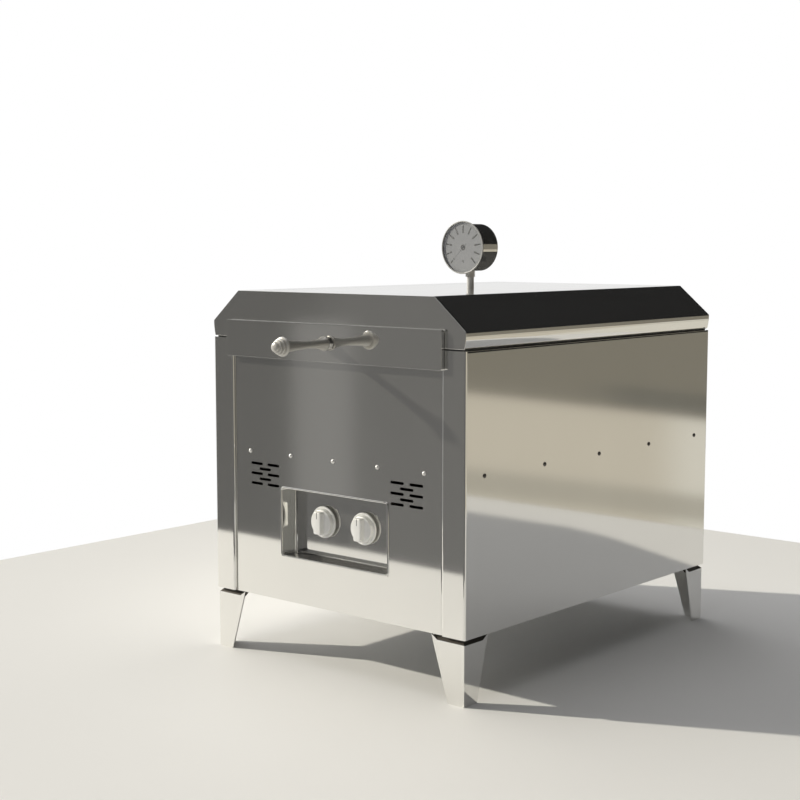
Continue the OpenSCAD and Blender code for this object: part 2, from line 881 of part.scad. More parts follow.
// Two folded brackets on the base pan, with a hole for each burner run and for the supply pipe
module burner_brackets() {
    far_x = knob_x + 2 * burner_turn;
    path = [
        [bracket_y + bracket_flange, z_pan], [bracket_y, z_pan],
        [bracket_y, z_deflector], [bracket_y + bracket_flange, z_deflector]
    ];
    color(galvanised) placed() for (front = [false, true]) flip_y(front) difference() {
        along_x(-bracket_hw, bracket_hw) sheet(bent(path, bend_r), -sheet_t);
        for (x = [-far_x, -knob_x, knob_x, far_x])
            translate([x, bracket_y - cut, z_knob]) rotate([-90, 0, 0])
                cylinder(r = burner_r + play, h = sheet_t + 2 * cut);
        translate([pipe_x, bracket_y - cut, z_manifold - manifold_w / 2]) rotate([-90, 0, 0])
            cylinder(r = pipe_d / 2 + fit_gap, h = sheet_t + 2 * cut);
    }
}

// Shallow roof over the burners, on top of the brackets
module heat_deflector() {
    half = [
        [bracket_hw + deflector_spread, z_deflector + sheet_t - deflector_drop],
        [bracket_hw + bend_r, z_deflector + sheet_t]
    ];
    color(charcoal) placed() along_y(-deflector_l / 2, deflector_l / 2)
        sheet(bent(concat(half, mirrored(half)), bend_r), sheet_t);
}

// Gas train

module gas_manifold() {
    left = -knob_x - boss_d;
    right = pipe_x + pipe_d;
    size = [right - left, manifold_w, manifold_w];
    color(satin) placed() difference() {
        translate([left, y_gas - manifold_w / 2, z_manifold - manifold_w]) cube(size);
        translate([left, y_gas - manifold_w / 2, z_manifold - manifold_w] + pipe_t * [1, 1, 1])
            cube(size - 2 * pipe_t * [1, 1, 1]);
        for (x = [-knob_x, knob_x]) translate([x, y_gas, z_manifold - 2 * pipe_t])
            cylinder(d = passage_d, h = 3 * pipe_t);
        translate([pipe_x, 0, z_manifold - manifold_w / 2]) to_back(y_gas)
            cylinder(d = pipe_d - 2 * pipe_t, h = manifold_w);
    }
}

// Body with a flange on the tray, a boss on the manifold, and a bore for the plug
module valve_body(x) {
    color(brass) placed() translate([x, 0, 0]) difference() {
        union() {
            translate([0, 0, z_knob]) to_back(y_valve) cylinder(d = valve_d, h = valve_l);
            translate([-valve_flange / 2, y_valve, z_knob - valve_flange / 2])
                cube([valve_flange, valve_flange_t, valve_flange]);
            translate([0, y_gas, z_manifold]) cylinder(d = boss_d, h = z_knob - z_manifold);
        }
        translate([0, 0, z_knob]) to_back(y_valve - cut) cylinder(d = spindle_d + 2, h = valve_l / 2);
        translate([0, 0, z_knob]) to_back(y_plug - cut) cylinder(r = plug_d / 2 + play, h = plug_l + 2 * cut);
        translate([0, 0, z_knob]) to_back(y_plug) cylinder(d = passage_d, h = valve_l);
        translate([0, y_gas, z_manifold - cut]) cylinder(d = passage_d, h = z_knob - z_manifold);
    }
}

// Turning plug, with a flatted bore for the spindle and a gas passage to one side
module valve_plug(x) {
    bore = spindle_in + knob_push + cut;
    color(brass) placed() translate([x, 0, z_knob]) difference() {
        to_back(y_plug) cylinder(d = plug_d, h = plug_l);
        to_back(y_plug - cut) linear_extrude(bore + cut)
            mirror([0, 1, 0]) d_section(spindle_d / 2 + play, spindle_flat + play);
        to_back(y_plug + plug_l - passage_d * 3 / 2) cylinder(d = passage_d, h = plug_l);
        translate([0, y_plug + plug_l - passage_d, 0]) rotate([0, 90, 0]) cylinder(d = passage_d, h = plug_d);
    }
}

module spindle(x) {
    color(satin) placed() translate([x, 0, z_knob]) to_front(y_plug + spindle_in)
        linear_extrude(y_plug + spindle_in - y_knob + socket_d - fit_gap)
            d_section(spindle_d / 2, spindle_flat);
}

// Skirt with a bead round it, a raised face with sloping sides, and an upright grip bar with a mark
module knob(x) {
    r = knob_d / 2;
    face_r = knob_face_d / 2;
    face = knob_skirt + knob_rise;
    top = face + grip_h;
    color("gainsboro") placed() translate([x, 0, z_knob]) to_front(y_knob) difference() {
        union() {
            rotate_extrude() {
                square([r, knob_skirt - knob_bead]);
                translate([r - knob_bead, knob_skirt - knob_bead]) circle(knob_bead);
                polygon([
                    [0, 0], [r - knob_bead, 0], [r - knob_bead, knob_skirt - knob_bead],
                    [face_r + knob_slope, knob_skirt - knob_bead], [face_r, face], [0, face]
                ]);
            }
            linear_extrude(top) rounded(grip_w, grip_l, grip_r);
        }
        translate([0, 0, -cut]) linear_extrude(socket_d + cut)
            d_section(spindle_d / 2 + play, spindle_flat + play);
        translate([-mark_w / 2, grip_l / 2 - mark_l, top - mark_t])
            cube([mark_w, mark_l + cut, mark_t + cut]);
    }
}

// Hexagon and drilled nozzle on the back of each valve
module injectors() {
    hex_l = injector_l / 3;
    color(brass) placed() for (x = [-knob_x, knob_x])
        translate([x, 0, z_knob]) to_back(y_valve + valve_l) difference() {
            union() {
                cylinder(d = injector_hex, h = hex_l, $fn = 6);
                translate([0, 0, hex_l])
                    cylinder(d1 = injector_hex * 0.75, d2 = passage_d + 2, h = injector_l - hex_l);
            }
            translate([0, 0, -cut]) cylinder(d = passage_d / 2, h = injector_l + 2 * cut);
        }
}

module supply_pipe() {
    start = y_gas + manifold_w / 2;
    color(satin) placed() translate([pipe_x, 0, z_manifold - manifold_w / 2]) to_back(start)
        linear_extrude(hd - sheet_t - inlet_hex_t - start) difference() {
            circle(d = pipe_d);
            circle(d = pipe_d - 2 * pipe_t);
        }
}

// Bulkhead fitting: a hexagon on each face of the back panel, and a drilled stub
module gas_inlet() {
    color(brass) placed() translate([pipe_x, 0, z_manifold - manifold_w / 2])
        to_back(hd - sheet_t - inlet_hex_t) difference() {
            union() {
                cylinder(d = inlet_hex, h = inlet_hex_t, $fn = 6);
                cylinder(d = inlet_d, h = 2 * inlet_hex_t + sheet_t + inlet_l);
                translate([0, 0, inlet_hex_t + sheet_t]) cylinder(d = inlet_hex, h = inlet_hex_t, $fn = 6);
            }
            translate([0, 0, -cut]) cylinder(d = inlet_d / 2, h = 2 * (inlet_hex_t + sheet_t + inlet_l));
        }
}

module left_valve_body() {
    valve_body(-knob_x);
}

module right_valve_body() {
    valve_body(knob_x);
}

module left_valve_plug() {
    valve_plug(-knob_x);
}

module right_valve_plug() {
    valve_plug(knob_x);
}

module left_spindle() {
    spindle(-knob_x);
}

module right_spindle() {
    spindle(knob_x);
}

module left_knob() {
    knob(-knob_x);
}

module right_knob() {
    knob(knob_x);
}

// Hinges and seal

// Four strips on the flanges at the rim
module lid_seal() {
    end_y = hd - seal_inset - seal_w;
    color(charcoal) placed() along_z(z_rim, z_lid) {
        for (y = [-hd + seal_inset, end_y])
            translate([-hw + seal_inset, y]) square([body_w - 2 * seal_inset, seal_w]);
        for (x = [-hw + seal_inset, hw - seal_inset - seal_w])
            translate([x, -end_y + fit_gap]) square([seal_w, 2 * (end_y - fit_gap)]);
    }
}

module barrel(x0, x1, d) {
    translate([x0, hinge_axis.x, hinge_axis.y]) rotate([0, 90, 0]) cylinder(d = d, h = x1 - x0);
}

// Leaf plate on a rear face, above or below the axis, over the given stretch of X
module leaf(x0, x1, z0, z1) {
    translate([x0, hd, hinge_axis.y + z0]) cube([x1 - x0, leaf_t, z1 - z0]);
}

module hinge_bases() {
    half = hinge_w / 2;
    inner = half - knuckle_l;
    color(satin) placed() for (x = [-hinge_x, hinge_x]) translate([x, 0, 0]) difference() {
        union() {
            leaf(-half, half, -leaf_gap - leaf_h, -leaf_gap);
            for (x0 = [-half, inner]) {
                leaf(x0, x0 + knuckle_l, -leaf_gap, 0);
                barrel(x0, x0 + knuckle_l, knuckle_d);
            }
        }
        barrel(-half - cut, half + cut, pin_d + 2 * play);
    }
}

module hinge_leaves() {
    half = hinge_w / 2;
    inner = half - knuckle_l - knuckle_gap;
    color(satin) placed() for (x = [-hinge_x, hinge_x]) translate([x, 0, 0]) difference() {
        union() {
            leaf(-half, half, leaf_gap, leaf_gap + leaf_h);
            leaf(-inner, inner, 0, leaf_gap);
            barrel(-inner, inner, knuckle_d);
        }
        barrel(-half - cut, half + cut, pin_d + 2 * play);
    }
}

module hinge_pins() {
    half = hinge_w / 2;
    color(charcoal) placed() for (x = [-hinge_x, hinge_x]) translate([x, 0, 0]) {
        barrel(-half - fit_gap, half + fit_gap, pin_d);
        barrel(-half - fit_gap - pin_head_t, -half - fit_gap, pin_head_d);
        barrel(half + fit_gap, half + fit_gap + pin_head_t, pin_head_d);
    }
}

// Lid

// Path of the lid's sheet: right flange, lip, chamfer and top, then the same mirrored
function lid_path() =
    let (lip = [
        for (k = [0:lip_steps])
            let (part = 1 - k / lip_steps)
            [hw - lip_tuck * part * part, z_bend - lid_lip * part]
    ])
    let (half = concat([[hw - flange_w, z_lid]], lip, [[hw - chamfer_w, z_top]]))
    bent(concat(half, mirrored(half)), bend_r);

// One folded sheet: flanges on the seal, curved lips, chamfers and top
module lid_skin() {
    color(polished) placed() difference() {
        along_y(-hd, hd) sheet(lid_path(), sheet_t);
        translate([0, 0, z_top - sheet_t - cut]) cylinder(d = stem_d + 2 * play, h = sheet_t + 2 * cut);
    }
}

// End plate inside the skin, bent in at its foot to a flange on the seal
module lid_end() {
    reach = hw - flange_w - fit_gap;
    foot = [[-hd + flange_w, z_lid], [-hd, z_lid], [-hd, z_lid + 2 * bend_r]];
    difference() {
        along_y(-hd, -hd + sheet_t) polygon(beside(lid_path(), sheet_t + fit_gap));
        translate([-reach, -hd - cut, z_lid]) cube([2 * reach, sheet_t + 2 * cut, 2 * bend_r]);
    }
    along_x(-reach, reach) sheet(bent(foot, bend_r), -sheet_t);
}

module lid_front_panel() {
    color(polished) placed() lid_end();
}

module lid_rear_panel() {
    color(polished) placed() rotate([0, 0, 180]) lid_end();
}

// Hood inside the lid, standing on the flanges of the skin
module lid_liner() {
    z = z_lid + 2 * sheet_t;
    side = [[hw, z], [hw, z_bend], [hw - chamfer_w, z_top]];
    hood = beside(concat(side, mirrored(side)), lid_fill);
    half = [[hw - lip_tuck - bend_r - fit_gap, z]];
    path = concat(half, hood, mirrored(half));
    reach = hd - bend_r - fit_gap;
    color(satin) placed() difference() {
        along_y(-reach, reach) sheet(bent(path, bend_r), sheet_t);
        translate([0, 0, z_top - lid_fill - sheet_t - cut])
            cylinder(d = stem_d + 2 * play, h = sheet_t + 2 * cut);
    }
}

module lid_insulation() {
    size = [body_w - 2 * (chamfer_w + fill_margin), body_d - 2 * fill_margin];
    color("khaki") placed() along_z(z_top - lid_fill, z_top - sheet_t - fit_gap) difference() {
        square(size, center = true);
        circle(d = stem_d + 1);
    }
}

// Handle

// Shallow pan on the lid's front that hangs over the parting line, cut back where it faces the posts
module handle_plate() {
    color(polished) placed() difference() {
        translate([0, 0, handle_z]) to_front(-hd)
            linear_extrude(plate_proud) rounded(plate_w, plate_h, bend_r);
        translate([0, 0, handle_z]) to_front(-hd + cut) linear_extrude(plate_proud - sheet_t + cut)
            rounded(plate_w - 2 * sheet_t, plate_h - 2 * sheet_t, bend_r - sheet_t);
        translate([-plate_w, -hd - plate_clear, plate_z - cut])
            cube([2 * plate_w, plate_clear + cut, z_lid - plate_z + cut]);
        translate([0, 0, handle_z]) to_front(-hd) cylinder(d = stud_d + 2 * play, h = plate_proud + cut);
    }
}

// Stud with a flat head behind the plate, which carries the nut, the grip and the finial
module handle_stud() {
    length = sheet_t + nut_t + handle_l + finial_t;
    color(satin) placed() translate([0, 0, handle_z]) to_front(y_plate + sheet_t) {
        translate([0, 0, -stud_head_t]) cylinder(d = stud_head_d, h = stud_head_t);
        cylinder(d = stud_d, h = length);
    }
}

module handle_nut() {
    color(charcoal) placed() translate([0, 0, handle_z]) to_front(y_plate) difference() {
        cylinder(d = nut_d, h = nut_t, $fn = 6);
        translate([0, 0, -cut]) cylinder(d = stud_d + 2 * play, h = nut_t + 2 * cut);
    }
}

// Half-width of the grip at distance s from its base: a round edge up to the bulge,
// then a steep curve down to the waist, then a slow flare to the front
function grip_radius(s) =
    let (waist = handle_waist_d / 2)
    let (bulge = handle_base_d / 2)
    let (front = handle_front_d / 2)
    s < handle_edge ? bulge - handle_edge / 2 * (1 - sqrt(1 - pow(1 - s / handle_edge, 2)))
    : s < handle_waist ? waist + (bulge - waist) * pow((handle_waist - s) / (handle_waist - handle_edge), 3)
    : waist + (front - waist) * pow((s - handle_waist) / (handle_l - handle_waist), 1.3);

// Turned grip, bored for the stud
module handle_grip() {
    edge = [for (i = [0:4]) handle_edge * i / 5];
    sides = [for (i = [0:20]) handle_edge + (handle_l - handle_edge) * i / 20];
    profile = [for (s = concat(edge, sides)) [grip_radius(s), s]];
    bore = stud_d / 2 + play;
    color("gainsboro") placed() translate([0, 0, handle_z]) to_front(y_plate - nut_t)
        rotate_extrude() polygon(concat(profile, [[bore, handle_l], [bore, 0]]));
}

// Disc of radius r with a half-round edge, from height z
module ring_section(r, z, t) {
    translate([0, z]) square([r - t / 2, t]);
    translate([r - t / 2, z + t / 2]) circle(t / 2);
}

// A large ring, smaller rings that step down from it, and a domed button
module handle_finial() {
    r = finial_d / 2;
    base = finial_t + ring_count * ring_t;
    color(satin) placed() translate([0, 0, handle_z]) to_front(y_plate - nut_t - handle_l) difference() {
        rotate_extrude() intersection() {
            union() {
                ring_section(r, 0, finial_t);
                for (k = [1:ring_count]) ring_section(r - k * ring_step, finial_t + (k - 1) * ring_t, ring_t);
                translate([0, base]) intersection() {
                    square([button_d / 2, button_l]);
                    translate([0, button_l - button_d]) circle(button_d);
                }
            }
            square([finial_d, finial_l]);
        }
        translate([0, 0, -cut]) cylinder(d = stud_d + 2 * play, h = finial_t + fit_gap + cut);
    }
}

// Gauge

// Stem and probe in one: through the lid's skin, insulation and liner, with a flared foot on the top
module gauge_stem() {
    top = gauge_z - case_r_out - gauge_nut_h;
    color(satin) placed() {
        translate([0, 0, z_top - probe_l]) cylinder(d = stem_d, h = top - z_top + probe_l);
        translate([0, 0, z_top]) cylinder(d1 = collar_d, d2 = stem_d, h = collar_h);
    }
}

module gauge_nut() {
    color(charcoal) placed() translate([0, 0, gauge_z - case_r_out - gauge_nut_h])
        cylinder(d = gauge_nut_d, h = gauge_nut_h, $fn = 6);
}

// Cup with a rounded back edge, a flange behind the bezel, a boss on the nut and a post for the dial
module gauge_case() {
    length = case_back - y_bezel_back;
    flange_r = bezel_r - 0.5;
    outer = concat([[0, 0]], arc([case_r_out - case_r, case_r], case_r, -90, 0));
    rim = [[case_r_out, length - case_t], [flange_r, length - case_t], [flange_r, length]];
    inner = [[case_r_out - case_t, length], [case_r_out - case_t, case_t], [0, case_t]];
    color("black") placed() translate([0, 0, gauge_z]) {
        to_front(case_back) difference() {
            union() {
                rotate_extrude() polygon(concat(outer, rim, inner));
                cylinder(d = movement_d, h = length);
            }
            translate([0, 0, length / 2]) cylinder(r = arbor_d / 2 + play, h = length);
        }
        difference() {
            translate([0, 0, -case_r_out]) cylinder(d = stem_d, h = case_r_out);
            rotate([90, 0, 0]) cylinder(r = case_r_out - case_t, h = stem_d * 2, center = true);
        }
    }
}

module gauge_bezel() {
    lip_r = bezel_r - bezel_lip;
    profile = [
        [lip_r, bezel_t - bezel_lip_t], [pocket_r, bezel_t - bezel_lip_t], [pocket_r, 0], [bezel_r, 0],
        [bezel_r, bezel_t - bezel_lip_t], [bezel_r - bezel_lip_t, bezel_t], [lip_r, bezel_t]
    ];
    color("gray") placed() translate([0, 0, gauge_z]) to_front(y_bezel_back)
        rotate_extrude() polygon(profile);
}

module gauge_lens() {
    color("lightcyan") placed() translate([0, 0, gauge_z]) to_front(y_lens_back)
        cylinder(r = pocket_r - play, h = lens_t);
}

// Plate with a raised rim that holds the lens off it
module gauge_dial() {
    r = pocket_r - play;
    color("whitesmoke") placed() translate([0, 0, gauge_z]) to_front(y_bezel_back) difference() {
        cylinder(r = r, h = y_bezel_back - y_lens_back);
        translate([0, 0, dial_t]) cylinder(r = r - dial_rim, h = bezel_t);
        translate([0, 0, -cut]) cylinder(r = arbor_d / 2 + play, h = bezel_t);
    }
}

// Needle on an arbor, at rest at the low end of the scale
module gauge_pointer() {
    lift = (y_dial_front - y_lens_back - pointer_t) / 2;
    needle = [
        [-pointer_w / 2, 0], [-pointer_w / 2, -pointer_tail], [pointer_w / 2, -pointer_tail],
        [pointer_w / 2, 0], [pointer_w / 6, pointer_l], [-pointer_w / 6, pointer_l]
    ];
    arbor_l = dial_t + bezel_t;
    color("black") placed() translate([0, 0, gauge_z]) to_front(y_dial_front) rotate([0, 0, dial_sweep / 2]) {
        translate([0, 0, lift]) linear_extrude(pointer_t) {
            polygon(needle);
            circle(d = hub_d);
        }
        translate([0, 0, -arbor_l]) cylinder(d = arbor_d, h = arbor_l + lift);
    }
}

left_side_panel();
right_side_panel();
front_panel();
back_panel();
base_pan();
control_tray();
front_left_leg();
front_right_leg();
rear_left_leg();
rear_right_leg();
front_screws();
side_screws();
rear_screws();
left_shelf_rail();
right_shelf_rail();
front_shelf_rail();
rear_shelf_rail();
stone_rack();
pizza_stone();
left_chamber_wall();
right_chamber_wall();
front_chamber_wall();
rear_chamber_wall();
left_burner();
right_burner();
burner_brackets();
heat_deflector();
gas_manifold();
left_valve_body();
right_valve_body();
injectors();
supply_pipe();
gas_inlet();
left_valve_plug();
right_valve_plug();
left_spindle();
right_spindle();
left_knob();
right_knob();
lid_seal();
hinge_bases();
hinge_pins();
hinge_leaves();
lid_skin();
lid_front_panel();
lid_rear_panel();
lid_liner();
lid_insulation();
handle_plate();
handle_stud();
handle_nut();
handle_grip();
handle_finial();
gauge_stem();
gauge_nut();
gauge_case();
gauge_bezel();
gauge_lens();
gauge_dial();
gauge_pointer();
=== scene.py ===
import math

import bmesh
import bpy
import numpy as np
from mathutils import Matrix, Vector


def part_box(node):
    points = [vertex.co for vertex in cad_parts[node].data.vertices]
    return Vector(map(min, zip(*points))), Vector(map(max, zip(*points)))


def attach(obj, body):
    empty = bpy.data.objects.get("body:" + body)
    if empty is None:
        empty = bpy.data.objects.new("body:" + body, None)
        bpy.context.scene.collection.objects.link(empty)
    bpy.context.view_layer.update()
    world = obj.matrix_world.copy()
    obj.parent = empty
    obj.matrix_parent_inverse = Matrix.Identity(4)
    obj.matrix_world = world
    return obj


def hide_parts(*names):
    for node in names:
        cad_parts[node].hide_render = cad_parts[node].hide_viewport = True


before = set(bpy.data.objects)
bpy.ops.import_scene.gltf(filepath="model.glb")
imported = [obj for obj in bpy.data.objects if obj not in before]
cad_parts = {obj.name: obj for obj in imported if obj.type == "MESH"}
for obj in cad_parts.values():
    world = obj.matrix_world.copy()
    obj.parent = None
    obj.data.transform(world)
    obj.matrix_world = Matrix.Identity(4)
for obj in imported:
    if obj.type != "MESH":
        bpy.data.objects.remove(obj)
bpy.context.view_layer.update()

# Legs
# Four tapered legs, each folded from one stainless sheet round the corner of the cabinet. A slanted
# neck at the top carries the tab that the cabinet is screwed to. The outside is mirror polished, and
# the necks carry painted shade in brown-black.
front_leg, rear_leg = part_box("front_right_leg"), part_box("rear_right_leg")
mid_y = (front_leg[0].y + rear_leg[1].y) / 2
leg_x, leg_y = front_leg[1].x, rear_leg[1].y - mid_y
neck_h, neck_soft, face_skin = 0.0076, 0.0004, 0.0003
neck_z = front_leg[1].z - neck_h
wave_depth = 0.00003
steel_dark, steel_light = (0.825, 0.82, 0.80, 1), (0.865, 0.86, 0.84, 1)
# Brown-black painted shade for the slanted leg necks, which sit in shade under the cabinet
neck_shade_brown = (0.055, 0.05, 0.044, 1)


class Wire:
    """One output in a tree of shader nodes. Arithmetic on wires adds Math nodes: masks read as formulas."""

    def __init__(self, tree, socket):
        self.tree = tree
        self.socket = socket

    def node(self, kind, settings, sockets, out=0):
        """Adds a node of that type: first its settings, then the values or links of its sockets."""
        made = self.tree.nodes.new(kind)
        for name, value in settings.items():
            setattr(made, name, value)
        for name, value in sockets.items():
            if isinstance(value, Wire):
                self.tree.links.new(value.socket, made.inputs[name])
            else:
                made.inputs[name].default_value = value
        return Wire(self.tree, made.outputs[out])

    def math(self, operation, a, b=0.0):
        """One Math node on two wires or numbers."""
        return self.node("ShaderNodeMath", {"operation": operation}, {0: a, 1: b})

    def __add__(self, other):
        return self.math("ADD", self, other)

    def __radd__(self, other):
        return self.math("ADD", other, self)

    def __sub__(self, other):
        return self.math("SUBTRACT", self, other)

    def __rsub__(self, other):
        return self.math("SUBTRACT", other, self)

    def __mul__(self, other):
        return self.math("MULTIPLY", self, other)

    def __rmul__(self, other):
        return self.math("MULTIPLY", other, self)

    def __abs__(self):
        return self.math("ABSOLUTE", self)

    def rise(self, start, end):
        """0 before start, 1 after end, and a smooth step between them."""
        return self.node("ShaderNodeMapRange", {"interpolation_type": "SMOOTHSTEP"},
                         {"Value": self, "From Min": start, "From Max": end})

    def fall(self, start, end):
        """1 before start, 0 after end, and a smooth step between them."""
        return 1.0 - self.rise(start, end)

    def near(self, middle, inner, outer):
        """1 up to an inner distance from a middle value, and a smooth step down to 0 at an outer one."""
        return abs(self - middle).fall(inner, outer)

    def between(self, low, high):
        """Colour that goes from low to high as this mask goes from 0 to 1."""
        return self.node("ShaderNodeMix", {"data_type": "RGBA"}, {0: self, 6: low, 7: high}, 2)

    def noise(self, scale, detail=2.0):
        """Cloudy noise from 0 to 1 at these coordinates, with that many lumps to the metre."""
        return self.node("ShaderNodeTexNoise", {}, {"Vector": self, "Scale": scale, "Detail": detail})

    def stretched(self, x, y, z):
        """These coordinates scaled along each axis."""
        return self.node("ShaderNodeMapping", {}, {"Vector": self, "Scale": (x, y, z)})

    def axes(self):
        """The three numbers of these coordinates."""
        split = self.node("ShaderNodeSeparateXYZ", {}, {"Vector": self}).socket.node
        return [Wire(self.tree, split.outputs[axis]) for axis in range(3)]

    def feed(self, shader, socket):
        """Links this wire to a socket of a shader."""
        self.tree.links.new(self.socket, shader.inputs[socket])


def finish(name, sockets):
    """A new material with its plain sockets set: the material, its shader and its object coordinates."""
    material = bpy.data.materials.new(name)
    material.use_nodes = True
    tree = material.node_tree
    shader = tree.nodes["Principled BSDF"]
    for socket, value in sockets.items():
        shader.inputs[socket].default_value = value
    return material, shader, Wire(tree, tree.nodes.new("ShaderNodeTexCoord").outputs["Object"])


def dent(height, depth):
    """Bump normal of a height from 0 to 1 that stands for that depth in metres."""
    return height.node("ShaderNodeBump", {}, {"Height": height, "Strength": 1.0, "Distance": depth})


def dress(material, *names):
    """Gives the CAD nodes of those names this material."""
    for name in names:
        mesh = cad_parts[name].data
        mesh.materials.clear()
        mesh.materials.append(material)


def polished_steel(name, scale=None, roll=None):
    """Mirror polish: wipe marks in the gloss and a trace of waviness. Where they are given, scale is a mask
    where brown-black shade is painted in with a duller gloss, and roll a slow height in metres."""
    material, shader, place = finish(name, {"Metallic": 0.93})
    wipes = place.stretched(1.0, 1.0, 0.35).noise(9.0, 4.0)
    tone = wipes.between(steel_dark, steel_light)
    gloss = 0.045 + 0.02 * wipes
    # Painted shade: where the mask is given, a brown-black colour and a duller gloss stand in for shade
    if scale:
        painted_shade = scale(place)
        tone = painted_shade.between(tone, neck_shade_brown)
        gloss = gloss + 0.35 * painted_shade
    tone.feed(shader, "Base Color")
    gloss.feed(shader, "Roughness")
    waves = place.noise(3.5, 1.0)
    if roll:
        waves = waves + roll(place) * (1.0 / wave_depth)
    dent(waves, wave_depth).feed(shader, "Normal")
    return material


def neck_shade_mask(place):
    """Mask of painted shade, brown-black: 1 on the slanted necks, which lie above a height and inside both
    outer faces of a leg.
    """
    x, y, z = place.axes()
    side_face = abs(x).rise(leg_x - 2 * face_skin, leg_x - face_skin)
    end_face = abs(y - mid_y).rise(leg_y - 2 * face_skin, leg_y - face_skin)
    return z.rise(neck_z, neck_z + neck_soft) * (1.0 - (side_face + end_face))


leg_names = [f"{end}_{side}_leg" for end in ("front", "rear") for side in ("left", "right")]
# The slanted necks of the legs get brown-black painted shade
dress(polished_steel("polished_legs", neck_shade_mask), *leg_names)

# Cabinet walls
# Two side panels with the corner posts folded on, and a front and a back panel that slip between the
# posts. All are stainless sheet, bent on a brake and polished like the legs.

polished = polished_steel("polished_sheet")
dress(polished, "left_side_panel", "right_side_panel", "front_panel", "back_panel")

# Base pan
# Shallow tray that closes the cabinet below the burners. It is plain zinc-coated sheet, so it shows
# the flaked grain of hot-dip zinc.
zinc_dark, zinc_light = (0.46, 0.47, 0.48, 1), (0.64, 0.65, 0.66, 1)


def zinc_coat():
    """Flat flakes of zinc, each a little lighter or darker and turned a little in its gloss."""
    material, shader, place = finish("zinc_coat", {"Metallic": 0.9})
    flake = place.node("ShaderNodeTexVoronoi", {}, {"Vector": place, "Scale": 95.0}, 1)
    tone = flake.node("ShaderNodeRGBToBW", {}, {"Color": flake})
    tone.between(zinc_dark, zinc_light).feed(shader, "Base Color")
    (0.34 + 0.16 * tone).feed(shader, "Roughness")
    dent(place.noise(60.0, 3.0), 0.0001).feed(shader, "Normal")
    return material


zinc = zinc_coat()
dress(zinc, "base_pan")

# Control tray
# Box pressed from polished sheet that fills the cut-out in the front and holds the knobs back out of
# harm's way. Its walls flare a little, and a rolled rim hides the cut edge of the front panel.
scene = bpy.context.scene
tray_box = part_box("control_tray")
tray_seat = (0.0, tray_box[0].y, (tray_box[0].z + tray_box[1].z) / 2)
tray_flange, tray_sheet, tray_corner, tray_fillet, tray_soft = 0.0055, 0.0015, 0.0035, 0.0015, 0.0010
tray_half = (tray_box[1].x - tray_flange, tray_box[1].z - tray_seat[2] - tray_flange)
tray_back = tray_box[1].y - tray_box[0].y
tray_deep = tray_back - tray_sheet
rim_r, rim_out, rim_lift, rim_foot = 0.0013, 0.0011, 0.0001, 0.0006
wall_outside, wall_inside, wall_inset, wall_deep = -0.0008, 0.0003, 0.0022, tray_deep - tray_fillet
end_lean, end_from, end_to = 0.069, tray_half[0] - 0.0055, tray_half[0] - 0.0035
back_lean, back_from, back_to = 0.02, tray_seat[1] + tray_deep - 0.0004, tray_seat[1] + tray_deep - 0.0001


def arc(centre, radius, start, end, count):
    """Points on a circle about a centre, from one angle to another in degrees."""
    angle = np.radians(np.linspace(start, end, count))
    return np.stack([centre[0] + radius * np.cos(angle), centre[1] + radius * np.sin(angle)], axis=-1)


def shell(points, ring=True, closed_rows=False):
    """Vertices and quads of a grid of points. Its columns close into a ring or stay open, like its rows."""
    rows, columns = points.shape[:2]
    index = np.arange(rows * columns).reshape(rows, columns)
    last = index if closed_rows else index[:-1]
    after = np.roll(index, -1, axis=0) if closed_rows else index[1:]
    quads = np.stack([last, np.roll(last, -1, axis=1), np.roll(after, -1, axis=1), after], axis=-1)
    return points.reshape(-1, 3), (quads if ring else quads[:, :-1]).reshape(-1, 4).tolist()


def piece(name, parts, material, sharp=35.0):
    """One mesh of several shells: doubles merged, normals outwards, and edges sharp past an angle."""
    made = bmesh.new()
    mesh = bpy.data.meshes.new(name)
    for points, faces in parts:
        part = bpy.data.meshes.new(name + "_part")
        part.from_pydata(points.tolist(), [], faces)
        made.from_mesh(part)
        bpy.data.meshes.remove(part)
    bmesh.ops.remove_doubles(made, verts=made.verts, dist=1e-6)
    bmesh.ops.dissolve_degenerate(made, edges=made.edges, dist=1e-7)
    bmesh.ops.recalc_face_normals(made, faces=made.faces)
    made.to_mesh(mesh)
    made.free()
    mesh.shade_smooth()
    mesh.set_sharp_from_angle(angle=math.radians(sharp))
    mesh.materials.append(material)
    thing = bpy.data.objects.new(name, mesh)
    scene.collection.objects.link(thing)
    return thing


def rounded_rings(half, corner, centre, rows, sides=64, sharpest=0.0002):
    """Rounded rectangle carried forwards: a row says how far its outline is drawn in, and its distance."""
    angle = (np.arange(sides) + 0.5) * 2.0 * np.pi / sides
    turn = np.stack([np.cos(angle), np.sin(angle)], axis=-1)
    inset = rows[:, :1, None]
    room = np.maximum(np.array(half) - inset, 0.0)
    bend = np.minimum(np.clip(corner - inset, sharpest, None), room.min(axis=-1, keepdims=True))
    outline = np.sign(turn) * (room - bend) + bend * turn
    return shell(np.stack([centre[0] + outline[..., 0],
                           centre[1] - rows[:, 1:] + 0.0 * angle,
                           centre[2] + outline[..., 1]], axis=-1))


def wall_lean(place):
    """Lean of the tray's walls: a height that falls with z on the end walls and with x on the back."""
    x, y, z = place.axes()
    ends = abs(x).rise(end_from, end_to)
    back = y.rise(back_from, back_to)
    return end_lean * (tray_seat[2] - z) * ends - back_lean * x * back


